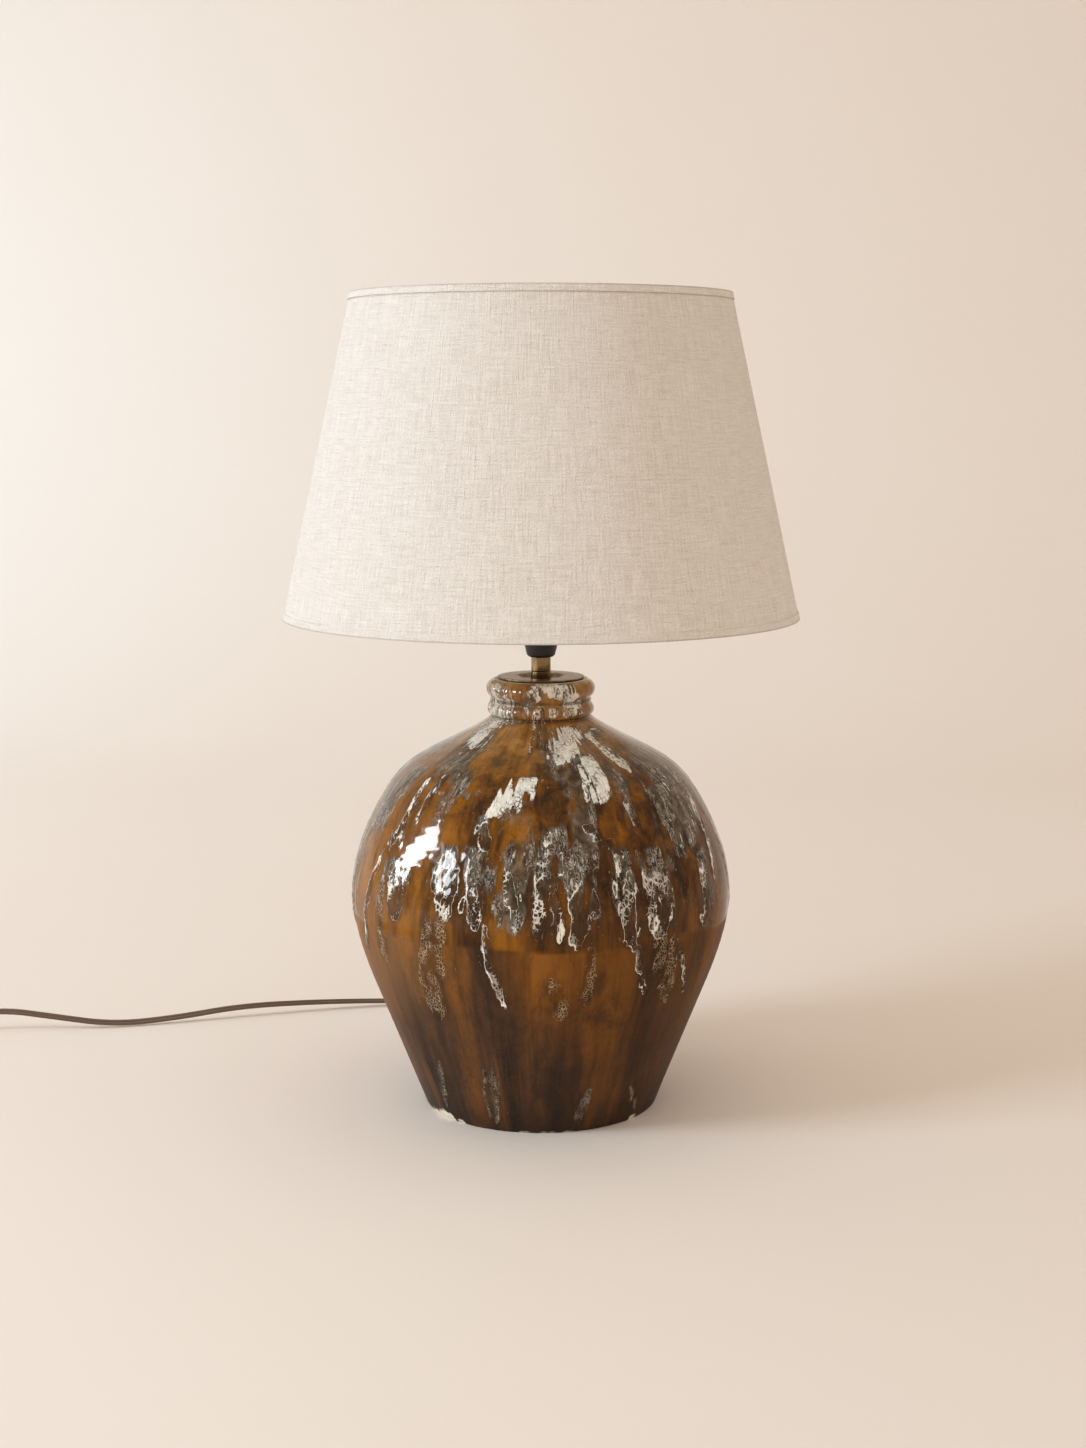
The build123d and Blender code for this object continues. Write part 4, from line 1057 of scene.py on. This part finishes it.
def all_runs(look):
    """The runs on the front, and two for each place round the back, drawn with the jar's seed."""
    draw = random.Random(look.seed)
    runs = list(RUNS)
    for place in np.arange(78, 286, 7.5):
        top = place + draw.uniform(-4, 4)
        start, tip = draw.uniform(205, 250), draw.uniform(100, 178)
        kind = draw.choice(("lace", "lace", "lace", "line", "net"))
        width = draw.uniform(2, 4) if kind == "line" else draw.uniform(5, 10)
        runs.append((top, start, top + draw.uniform(-4, 4), tip, width, kind))
        kind = draw.choice(("veil", "veil", "line", "lace"))
        runs.append((top, draw.uniform(262, 306), top + draw.uniform(-9, 9), draw.uniform(205, 255), 7, kind))
    return runs


def lift(fields, name, field):
    """Raises one of the jar's maps to a field, where that is higher."""
    fields[name] = np.maximum(fields[name], field)


def lay_run(fields, kind, share, side, width, ragged):
    """Adds one run to the maps, from its share of the way down and the distance from its middle line."""
    inside = np.clip(share, 0, 1)
    half = width * (0.45 + 0.75 * np.sin(np.pi * np.clip(inside * 0.86 + 0.07, 0, 1)) ** 0.8)
    half = half * np.sqrt(np.clip((1.04 - inside) / 0.18, 0.02, 1))
    ends = between(share, (-0.06, 0.06), (1.06, 0.98))
    for name, strength in KINDS[kind].items():
        off = np.abs(side) / (half * SPREADS.get(name, 1.0))
        mask = np.clip(1.5 - off + 0.55 * ragged, 0, 1) * ends * strength
        mask = mask * mask * (3 - 2 * mask)
        if name == "run":
            # The run's left side, which faces the window and gets the wider painted glint
            lee = np.clip(0.5 - side / half, 0, 1)
            fields["lee"] = np.where(mask > fields["run"], lee, fields["lee"])
            mask = mask * (np.clip(inside / 0.45, 0.4, 1) if kind == "lace" else 1)
        elif name == "veil" and kind == "lace":
            mask = mask * (1 - inside)
        lift(fields, name, mask)


class LAMP_OT_jar(bpy.types.Operator):
    """Throws the jar on the CAD section and runs the glaze down it"""

    bl_idname = "lamp.jar"
    bl_label = "Glazed jar"

    def execute(self, context):
        look = context.scene.lamp_jar
        solid = solid_of("ceramic_jar")
        low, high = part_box("ceramic_jar")
        outside = self.outside(solid, low, high)
        before, after = self.hidden(solid, low, high, outside)
        loop = np.vstack([before, outside, after])
        face = np.zeros((len(loop), 1))
        face[len(before) : len(before) + len(outside)] = 1
        angles = np.linspace(0, TURN, look.columns, endpoint=False)
        angle = np.repeat(angles[None, :], len(loop), axis=0)
        radius, height = spread(loop, look.columns)
        fields = self.fields(look, angle, height, radius)
        fields = {name: field * face for name, field in fields.items()}
        lift(fields, "bare", 1 - face)
        radius = radius + self.relief(look, angle, height, fields) * face
        jar, used = skin("glazed_jar", turned(radius, height, angle))
        for name, field in fields.items():
            layer = jar.data.attributes.new(name, "FLOAT", "POINT")
            layer.data.foreach_set("value", field.reshape(-1)[used].astype(np.float32))
        dress(jar, "ceramic_jar")
        return {"FINISHED"}

    def outside(self, solid, low, high):
        """The glazed line from foot to lip, smoothed but at its ends, with closer points there."""
        heights = np.linspace(low.z + 1e-5, high.z - 1e-5, 1700)
        radii = np.array([outer_radius(solid, z) for z in heights])
        flare = np.array(FLARE) * MM
        radii = np.maximum(radii, np.interp(heights, flare[:, 1], flare[:, 0], left=0, right=0))
        width = 4 * MM / (heights[1] - heights[0])
        reach = int(3 * width)
        smooth = np.convolve(np.pad(radii, reach, mode="reflect"), bell(width, reach), mode="valid")
        share = between(heights / MM, *SMOOTHED)
        line = np.column_stack([radii + (smooth - radii) * share, heights])
        close = (heights < CLOSE_BELOW) | (heights > CLOSE_ABOVE)
        apart = np.where(close, 1.0 * MM, 2.25 * MM)
        rank = np.concatenate([[0], np.cumsum(np.diff(run_along(line)) / apart[1:])])
        wanted = np.linspace(0, rank[-1], int(rank[-1]) + 1)
        return np.column_stack([np.interp(wanted, rank, line[:, axis]) for axis in (0, 1)])

    def hidden(self, solid, low, high, outside):
        """The rest of the section: under the foot, and from the lip down the inside to the floor."""
        recess = level(solid, 30 * MM, -1, 1)
        floor = level(solid, 10 * MM, 0.1, -1)
        ring = inner_radius(solid, low.z + recess / 2)
        foot = [(share * ring, recess) for share in (0, 0.3, 0.6, 0.85, 1)]
        foot += [(ring, low.z + recess * 0.4), (ring, low.z), ((ring + outside[0, 0]) / 2, low.z)]
        mouth = inner_radius(solid, high.z - 12 * MM)
        edge = outside[-1, 0]
        lip = [(edge + (mouth + 1 * MM - edge) * share, high.z) for share in (0.08, 0.35, 0.7, 1.0)]
        lip += [(mouth + 0.3 * MM, high.z - 0.3 * MM), (mouth, high.z - 1 * MM)]
        inside = [(inner_radius(solid, z), z) for z in np.linspace(high.z - 14 * MM, floor + 6 * MM, 20)]
        inside += [(inside[-1][0] * share, floor) for share in (0.97, 0.5, 0)]
        return np.array(foot), np.array(lip + inside)

    def fields(self, look, angle, height, radius):
        """Where the glaze crawled, darkened, greyed, wrinkled, is glossy, or is chipped off, and where shade
        and glints are painted.
        """
        fields = {name: np.zeros_like(angle) for name in FIELDS}
        up = height / MM
        ragged = ripples(angle, height, look.seed, 26, (30, 130), (-260, 260))
        sway = ripples(0, height, look.seed + 1, 5, (0, 0), (-120, 120)) * 0.018
        for number, (top_angle, top, tip_angle, tip, width, kind) in enumerate(all_runs(look)):
            share = (top - up) / (top - tip)
            middle = math.radians(top_angle) + math.radians(tip_angle - top_angle) * share
            middle = middle + sway * (1 if number % 2 else -1)
            side = ((angle - middle + math.pi) % TURN - math.pi) * radius / MM
            lay_run(fields, kind, share, side, width, ragged)
        pale = ripples(angle, height, look.seed + 3, 12, (2, 9), (-160, 160)) * 1.2 + 0.15
        pale = fade(up, *PALE_COLLAR) * np.clip(pale, 0, 1)
        lift(fields, "solid", pale * 0.6)
        lift(fields, "veil", pale * 0.7)
        # Dark rims along the neck's grooves, as painted shade
        for groove in NECK_LINES:
            lift(fields, "halo", np.exp(-(((up - groove) / 1.5) ** 2)))
        haze = ripples(angle, height, look.seed + 4, 14, (5, 22), (-90, 90)) * 1.1 + 0.1
        lift(fields, "veil", between(up, *HAZY) * np.clip(haze, 0, 1) * 0.75)
        line = look.gloss_line + 1.6 * MM * ripples(angle, 0, look.seed + 5, 6, (2, 11), (0, 0))
        fields["gloss"] = fade(height, line - 1.1 * MM, line + 1.1 * MM)
        for place, half, tall in CHIPS:
            off = np.abs((np.degrees(angle) - place + 180) % 360 - 180) / half
            edge = tall * np.sqrt(np.clip(1 - off**2, 0, 1)) * (1 + 0.25 * ragged)
            lift(fields, "bare", fade(edge - up, 0, 0.8))
        return fields

    def relief(self, look, angle, height, fields):
        """How far the wall stands out from the CAD section, in metres."""
        up = height / MM
        lumps = ripples(angle, height, look.seed + 6, 10, (2, 7), (-45, 45)) * look.lump_relief
        rings = np.sin(height * TURN / (7.4 * MM) + 1.5 * np.sin(angle)) * look.ring_relief
        rough = ripples(angle, height, look.seed + 7, 30, (60, 170), (-1100, 1100))
        runs = np.maximum(np.maximum(fields["run"], fields["solid"]), 0.5 * fields["halo"])
        runs = np.maximum(runs * (0.75 + 0.4 * rough), 0.5 * fields["net"] * (0.7 + 0.6 * rough))
        coat = 0.35 * fields["gloss"] * fade(height, look.gloss_line + 60 * MM, look.gloss_line)
        glaze = (runs + coat) * look.drip_relief * fade(up, *THICK_GLAZE)
        clay = (lumps + rings) * between(up, *LUMPY)
        return clay + glaze - 1.3 * MM * fields["bare"]


class LAMP_OT_fitting(bpy.types.Operator):
    """Turns the brass cap, collar and sleeve and the soft washer under them"""

    bl_idname = "lamp.fitting"
    bl_label = "Brass fitting"

    def execute(self, context):
        soft = context.scene.lamp_fitting.softness
        turned_piece("brass_cap", "vase_cap", flat_section("vase_cap"), soft, 192)
        turned_piece("brass_collar", "lock_collar", upright_section("lock_collar"), soft, 128)
        turned_piece("brass_sleeve", "neck_sleeve", upright_section("neck_sleeve"), soft, 128)
        turned_piece("soft_washer", "cap_gasket", upright_section("cap_gasket", 60), soft, 192)
        return {"FINISHED"}


def rib_tree():
    """Ribs stood at the points of a ring: a geometry tree with its sizes as inputs."""
    group = bpy.data.node_groups.new("ring_of_ribs", "GeometryNodeTree")
    sizes = (("Count", "Int"), ("Ring Radius", "Float"), ("Rib Radius", "Float"), ("Rib Height", "Float"))
    for name, kind in (*sizes, ("Middle", "Vector"), ("Finish", "Material")):
        group.interface.new_socket(name=name, in_out="INPUT", socket_type="NodeSocket" + kind)
    group.interface.new_socket(name="Ribs", in_out="OUTPUT", socket_type="NodeSocketGeometry")
    tree = Tree(group)
    given = tree.node("NodeGroupInput").socket.node.outputs
    given = {socket.name: Value(tree, socket) for socket in given if socket.name}
    sockets = {"Vertices": given["Count"], "Radius": given["Ring Radius"]}
    ring = tree.node("GeometryNodeMeshCircle", {}, sockets)
    sockets = {"Vertices": 8, "Radius": given["Rib Radius"], "Depth": given["Rib Height"]}
    rib = tree.node("GeometryNodeMeshCylinder", {}, sockets)
    stood = tree.node("GeometryNodeInstanceOnPoints", {}, {"Points": ring, "Instance": rib})
    moved = tree.node("GeometryNodeTransform", {}, {"Geometry": stood, "Translation": given["Middle"]})
    real = tree.node("GeometryNodeRealizeInstances", {}, {"Geometry": moved})
    done = tree.node("GeometryNodeSetMaterial", {}, {"Geometry": real, "Material": given["Finish"]})
    tree.node("NodeGroupOutput", {}, {0: done})
    return group


def grown(name, group, **values):
    """A plain mesh piece made by a geometry tree with the given inputs."""
    piece = bpy.data.objects.new(name, bpy.data.meshes.new(name))
    bpy.context.scene.collection.objects.link(piece)
    modifier = piece.modifiers.new("grow", "NODES")
    modifier.node_group = group
    for item in group.interface.items_tree:
        key = item.name.replace(" ", "_").lower()
        if item.in_out == "INPUT" and key in values:
            modifier[item.identifier] = values[key]
    bpy.context.view_layer.update()
    made = bpy.data.meshes.new_from_object(piece.evaluated_get(bpy.context.evaluated_depsgraph_get()))
    piece.modifiers.clear()
    piece.data = made
    made.name = name
    made.shade_smooth()
    made.set_sharp_from_angle(angle=math.radians(50))
    return piece


class LAMP_OT_holder(bpy.types.Operator):
    """Makes the black lamp holder: cone cap, threaded barrel and ribbed shade ring"""

    bl_idname = "lamp.holder"
    bl_label = "Lamp holder"

    def execute(self, context):
        soft = context.scene.lamp_fitting.softness
        turned_piece("holder_cone", "holder_cap", upright_section("holder_cap", 420), 1.6 * soft, 160)
        low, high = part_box("holder_barrel")
        wall = (19.2 * MM, 20.6 * MM)
        thread = screw_thread(2.5 * MM, 0.55 * MM, wall, low.z + 4 * MM, high.z)
        barrel = upright_section("holder_barrel", 420)
        turned_piece("holder_thread", "holder_barrel", barrel, soft, 128, thread)
        ring = turned_piece("grip_ring", "shade_ring", upright_section("shade_ring", 240), 1.4 * soft, 160)
        low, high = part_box("shade_ring")
        ribs = grown(
            "grip_ribs",
            rib_tree(),
            count=48,
            ring_radius=high.x - 0.25 * MM,
            rib_radius=0.62 * MM,
            rib_height=2.0 * MM,
            middle=(0, 0, low.z + 1.5 * MM),
            finish=finish_of("black_plastic"),
        )
        enlist(ribs, body_of_node["shade_ring"], "black_plastic")
        ribs.parent = ring
        return {"FINISHED"}


def blurred(rows, width, axis, wrap):
    """Rows of numbers smoothed along one axis."""
    reach = int(3 * width) + 1
    pads = [(0, 0), (0, 0)]
    pads[axis] = (reach, reach)
    padded = np.pad(rows, pads, mode="wrap" if wrap else "edge")
    count = rows.shape[axis]
    return sum(w * np.take(padded, range(k, k + count), axis) for k, w in enumerate(bell(width, reach)))


# The plug: distance between its slices, points round each, and how much its last slices shrink
SLICE = 0.4 * MM
PLUG_COLUMNS = 96
ROUNDED_ENDS = (0.07, 0.025, 0.006)


class LAMP_OT_plug(bpy.types.Operator):
    """Moulds the plug over the CAD shape, with its edges rounded off"""

    bl_idname = "lamp.plug"
    bl_label = "Plug"

    def execute(self, context):
        solid = solid_of("plug_body")
        low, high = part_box("plug_body")
        middle = Vector(((low.x + high.x) / 2, 0, (low.z + high.z) / 2))
        places = np.arange(low.y + 0.05 * MM, high.y, SLICE)
        angles = np.linspace(0, TURN, PLUG_COLUMNS, endpoint=False)
        ways = [Vector((math.cos(a), 0, math.sin(a))) for a in angles]
        far = 0.1
        radii = []
        for y in places:
            centre = middle + Vector((0, y, 0))
            radii.append([far - solid.ray_cast(centre + far * way, -way)[3] for way in ways])
        radii = blurred(blurred(np.array(radii), 1.7, 1, True), 0.7, 0, False)
        shrink = np.ones((len(places), 1))
        for k, lost in enumerate(ROUNDED_ENDS):
            shrink[k] = shrink[-1 - k] = 1 - lost
        radii = radii * shrink
        radii = np.vstack([radii[:1] * 0, radii[:1] * 0.9, radii, radii[-1:] * 0.9, radii[-1:] * 0])
        places = np.concatenate([places[:1], places[:1], places, places[-1:], places[-1:]])
        x = middle.x + radii * np.cos(angles)
        z = middle.z + radii * np.sin(angles)
        grid = np.stack([x, np.repeat(places[:, None], len(angles), axis=1), z], axis=-1)
        dress(skin("plug_moulding", grid)[0], "plug_body")
        return {"FINISHED"}


class LAMP_OT_bulb(bpy.types.Operator):
    """Blows the opal bulb and rolls its screw cap"""

    bl_idname = "lamp.bulb"
    bl_label = "Bulb"

    def execute(self, context):
        solid = solid_of("bulb_glass")
        low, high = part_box("bulb_glass")
        share = np.sin(np.linspace(0.02, math.pi / 2, 90))
        heights = low.z + 1e-5 + (high.z - low.z - 2e-5) * share
        side = [(outer_radius(solid, z), z) for z in heights]
        line = np.array([(0, low.z), (0.6 * side[0][0], low.z), *side, (0, high.z)])
        smooth = line.copy()
        for _ in range(6):
            smooth[4:-2] = (smooth[3:-3] + 2 * smooth[4:-2] + smooth[5:-1]) / 4
        angles = np.linspace(0, TURN, 96, endpoint=False)
        grid = turned(*spread(smooth, len(angles)), angles)
        dress(skin("bulb_envelope", grid)[0], "bulb_glass")
        low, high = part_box("bulb_cap")
        wall = (high.x - 0.25 * MM, math.inf)
        thread = screw_thread(3.629 * MM, 0.75 * MM, wall, low.z - 2 * MM, high.z - 1 * MM)
        turned_piece("bulb_screw", "bulb_cap", upright_section("bulb_cap", 300), 0.3 * MM, 96, thread)
        return {"FINISHED"}


# The cone's rows on each face, its slack and the rise of its lap; the hem's inner leaf and how far it wavers
CONE_ROWS = 44
SLACK = 0.18 * MM
LAP_RISE = 0.6 * MM
INNER_LEAF = 5.2 * MM
WAVER = 0.07 * MM


class LAMP_OT_shade(bpy.types.Operator):
    """Makes the shade's linen, its lining and its two rolled hems"""

    bl_idname = "lamp.shade"
    bl_label = "Linen shade"

    def execute(self, context):
        look = context.scene.lamp_shade
        self.look = look
        self.angles = self.columns(look)
        linen = self.layer("shade_linen", "linen_cone", True)
        self.layer("shade_liner", "shade_lining", False)
        hems = [self.hem("top_hem", "hem_roll_top", -1), self.hem("bottom_hem", "hem_roll_bottom", 1)]
        return {"FINISHED"}

    def columns(self, look):
        """Angles round the shade from the seam at the back, with a column at each edge of the lap."""
        even = np.linspace(0, TURN, look.columns, endpoint=False)
        lap = look.seam_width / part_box("shade_linen")[1].x
        edges = [0.0008, lap - 0.0008, lap + 0.0008, TURN - 0.0008]
        return np.unique(np.round(np.concatenate([even, edges]), 7))

    def cone(self, node):
        """The outer radius, inner radius and height of a layer at its two rims, the lower one first."""
        corners = np.array([v.co[:] for v in frame["nodes"][node].data.vertices])
        radius, height = np.hypot(corners[:, 0], corners[:, 1]), corners[:, 2]
        ends = []
        for rim in (height.min(), height.max()):
            near = radius[np.abs(height - rim) < 0.02 * MM]
            ends.append((near.max(), near.min(), rim))
        return ends

    def layer(self, node, name, cloth):
        """A cone of two faces, a little slack between its rims; cloth has a lap at its seam."""
        (low_out, low_in, low), (high_out, high_in, high) = self.cone(node)
        share = np.linspace(0, 1, CONE_ROWS)
        there_and_back = np.concatenate([share, share[::-1]])
        outer = low_out + (high_out - low_out) * share
        inner = low_in + (high_in - low_in) * share
        height = low + (high - low) * there_and_back
        loop = np.column_stack([np.concatenate([outer, inner[::-1]]), height])
        radius, height = spread(loop, len(self.angles))
        slack = ripples(self.angles[None, :], height, 5, 12, (2, 9), (-30, 30)) * SLACK
        radius = radius - np.abs(slack) * np.sin(np.pi * there_and_back)[:, None]
        if cloth:
            lap = self.look.seam_width / low_out
            on_lap = (self.angles <= lap)[None, :] * (np.arange(2 * CONE_ROWS) < CONE_ROWS)[:, None]
            free = (height > low + self.look.hem_depth) & (height < high - self.look.hem_depth)
            radius = radius + on_lap * free * LAP_RISE
        grid = turned(radius, height, self.angles, BACK)
        slant = math.hypot(high - low, low_out - high_out)
        across = np.append(self.angles, TURN) * (low_out + high_out) / 2
        up = np.concatenate([share, share[::-1] + 0.003, [0]]) * slant
        return dress(skin(name, grid, (across, up), ring=True)[0], node)

    def cut(self):
        """The linen's flat cut, a piece of a ring: its width and length, and its area."""
        (bottom, _, low), (top, _, high) = self.cone("shade_linen")
        slant = math.hypot(high - low, bottom - top)
        far = bottom * slant / (bottom - top)
        near = far - slant
        half = math.pi * bottom / far
        flat = (2 * far * math.sin(half), far - near * math.cos(half))
        return flat, half * (far**2 - near**2)

    def hem(self, node, name, inward):
        """A tape folded over a rim: outer leaf, fold and short inner leaf, with soft edges."""
        look = self.look
        (bottom, _, low), (top, _, high) = self.cone("shade_linen")
        box_low, box_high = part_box(node)
        edge = box_high.z if inward < 0 else box_low.z
        lean = (top - bottom) / (high - low)

        def face(height):
            return bottom + lean * (height - low)

        corners = np.array([v.co[:] for v in frame["nodes"][node].data.vertices])
        deepest = (face(corners[:, 2]) - np.hypot(corners[:, 0], corners[:, 1])).max()
        proud = look.glue_gap + look.hem_thickness
        outer_end = edge + inward * look.hem_depth
        inner_end = edge + inward * INNER_LEAF
        fold = edge + inward * look.hem_thickness
        insets = (
            (-proud, outer_end),
            (-proud, edge),
            (deepest, edge),
            (deepest, inner_end),
            (deepest - look.hem_thickness, inner_end),
            (deepest - look.hem_thickness, fold),
            (-look.glue_gap, fold),
            (-look.glue_gap, outer_end),
        )
        section = np.array([(face(height) - inset, height) for inset, height in insets])
        step = 0.1 * MM
        loop = thin_out(soften(resample(section, step), 0.16 * MM, step), 0.006 * MM)
        radius, height = spread(loop, len(self.angles))
        waver = ripples(self.angles[None, :], height, 21, 18, (9, 60), (-40, 40)) * WAVER
        height = height + waver * (np.abs(height - edge) > look.hem_depth * 0.6)
        grid = turned(radius, height, self.angles, BACK)
        across = np.append(self.angles, TURN) * abs(loop[:, 0].mean())
        along = run_along(np.vstack([loop, loop[:1]]))
        roll = dress(skin(name, grid, (across, along), ring=True)[0], node)
        roll.data.materials[0] = finish_of("hem_tape")
        return roll


class LAMP_OT_frame(bpy.types.Operator):
    """Gives every piece that keeps its CAD shape its own finish"""

    bl_idname = "lamp.frame"
    bl_label = "Frame and small pieces"

    def execute(self, context):
        for node, piece in frame["nodes"].items():
            if not piece.hide_render:
                piece.data.materials.clear()
                slot = slot_of_node[node]
                piece.data.materials.append(finish_of("brown_rubber" if slot == "brown_cord" else slot))
        return {"FINISHED"}


# The window's panes as the glaze mirrors them: place, width and height, and roll in degrees
PANES = (
    ("pane_far", (-2.55, -0.08, 1.08), (0.5, 1.4), -36),
    ("pane_near", (-2.24, -1.23, 1.1), (0.42, 1.0), -9),
    ("pane_high", (-1.2, 0.58, 1.8), (0.5, 0.7), 0),
)

# Colours of the window's light, its panes, the light that it throws on the wall, and the room
WINDOW_SHADE = (0.68, 0.86, 1.0)
PANE_SHADE = (0.9, 0.95, 1.0)
WASH_SHADE = (0.5, 0.78, 1.0)
ROOM_SHADE = (1.0, 0.882, 0.745)

# The wall's light as a share of the window's, and how much of the room's light is kept out of reflections
WASH_SHARE = 0.28
UNMIRRORED = 0.6


class LAMP_OT_stage(bpy.types.Operator):
    """Sets the floor, the backdrop, the lights and the camera"""

    bl_idname = "lamp.stage"
    bl_label = "Stage"

    def execute(self, context):
        look = context.scene.lamp_stage
        context.scene.view_settings.view_transform = "Standard"
        self.backdrop(look)
        self.lights(look)
        self.room(context.scene, look)
        self.camera(context.scene, look)
        return {"FINISHED"}

    def lights(self, look):
        """The window as a soft light and as panes that only reflections show, and its light on the wall."""
        window = self.light("window", (-2.25, -1.0, 1.65), (0, 0, 0.3), (0.8, 1.0), look.key, WINDOW_SHADE)
        window.visible_glossy = False
        for name, place, size, roll in PANES:
            power = look.glint * math.pi * size[0] * size[1]
            pane = self.light(name, place, (-0.08, -0.1, 0.22), size, power, PANE_SHADE, math.radians(roll))
            pane.visible_diffuse = False
        power = look.key * WASH_SHARE
        wash = self.light("wall_wash", (-2.7, 0.8, 1.4), (-1.0, 2.6, 0.4), (1.4, 1.0), power, WASH_SHADE)
        wash.data.spread = math.radians(110)

    def room(self, scene, look):
        """Even light from all sides, weaker in reflections."""
        scene.world = bpy.data.worlds.new("studio")
        scene.world.use_nodes = True
        sky = Tree(scene.world.node_tree)
        background = scene.world.node_tree.nodes["Background"]
        mirrored = sky.node("ShaderNodeLightPath", out="Is Glossy Ray")
        sky.feed(background.inputs["Color"], ROOM_SHADE)
        sky.feed(background.inputs["Strength"], look.fill * (1 - UNMIRRORED * mirrored))

    def camera(self, scene, look):
        data = bpy.data.cameras.new("camera")
        data.lens = look.lens
        data.sensor_width = 36
        camera = bpy.data.objects.new("camera", data)
        camera.location = look.eye
        camera.rotation_euler = (math.pi / 2 - look.tilt, 0, 0)
        scene.collection.objects.link(camera)
        scene.camera = camera

    def light(self, name, place, target, size, power, shade, roll=0.0):
        data = bpy.data.lights.new(name, "AREA")
        data.shape = "RECTANGLE"
        data.size, data.size_y = size
        data.energy = power
        data.color = shade
        lamp = bpy.data.objects.new(name, data)
        lamp.location = place
        aim = (Vector(target) - Vector(place)).to_track_quat("-Z", "Y")
        lamp.rotation_euler = (aim @ Quaternion((0, 0, 1), roll)).to_euler()
        bpy.context.scene.collection.objects.link(lamp)
        return lamp

    def backdrop(self, look):
        """A floor that curves up into a wall far behind the lamp."""
        wall, bend, reach, height = 2.6, 1.2, 7.0, 5.0
        line = [(-6.0, 0.0), (0.0, 0.0), (wall - bend, 0.0)]
        for angle in np.linspace(0, math.pi / 2, 14)[1:]:
            line.append((wall - bend + bend * math.sin(angle), bend - bend * math.cos(angle)))
        line.append((wall, height))
        points = [(x, y, z) for y, z in line for x in (-reach, reach)]
        faces = [(2 * k, 2 * k + 1, 2 * k + 3, 2 * k + 2) for k in range(len(line) - 1)]
        mesh = bpy.data.meshes.new("backdrop")
        mesh.from_pydata(points, [], faces)
        mesh.shade_smooth()
        mesh.materials.append(floor_paint(look))
        floor = bpy.data.objects.new("backdrop", mesh)
        bpy.context.scene.collection.objects.link(floor)


settings = {
    "lamp_jar": JarSettings,
    "lamp_shade": ShadeSettings,
    "lamp_fitting": FittingSettings,
    "lamp_cord": CordSettings,
    "lamp_stage": StageSettings,
}
operators = (
    LAMP_OT_stage,
    LAMP_OT_plug,
    LAMP_OT_cord,
    LAMP_OT_jar,
    LAMP_OT_fitting,
    LAMP_OT_holder,
    LAMP_OT_bulb,
    LAMP_OT_shade,
    LAMP_OT_frame,
)


class LAMP_PT_panel(bpy.types.Panel):
    """Lists the lamp's pieces and their settings"""

    bl_idname = "LAMP_PT_panel"
    bl_label = "Ceramic Table Lamp"
    bl_space_type = "VIEW_3D"
    bl_region_type = "UI"
    bl_category = "Lamp"

    def draw(self, context):
        for operator in operators:
            self.layout.operator(operator.bl_idname)
        for name, group in settings.items():
            box = self.layout.box()
            for key in group.__annotations__:
                box.prop(getattr(context.scene, name), key)


def register():
    for group in (*settings.values(), *operators, LAMP_PT_panel):
        bpy.utils.register_class(group)
    for name, group in settings.items():
        setattr(bpy.types.Scene, name, PointerProperty(type=group))


def unregister():
    for name in settings:
        delattr(bpy.types.Scene, name)
    for group in reversed((*settings.values(), *operators, LAMP_PT_panel)):
        bpy.utils.unregister_class(group)


def main():
    register()
    for operator in operators:
        getattr(bpy.ops.lamp, operator.bl_idname.split(".")[1])()


if __name__ == "__main__":
    main()
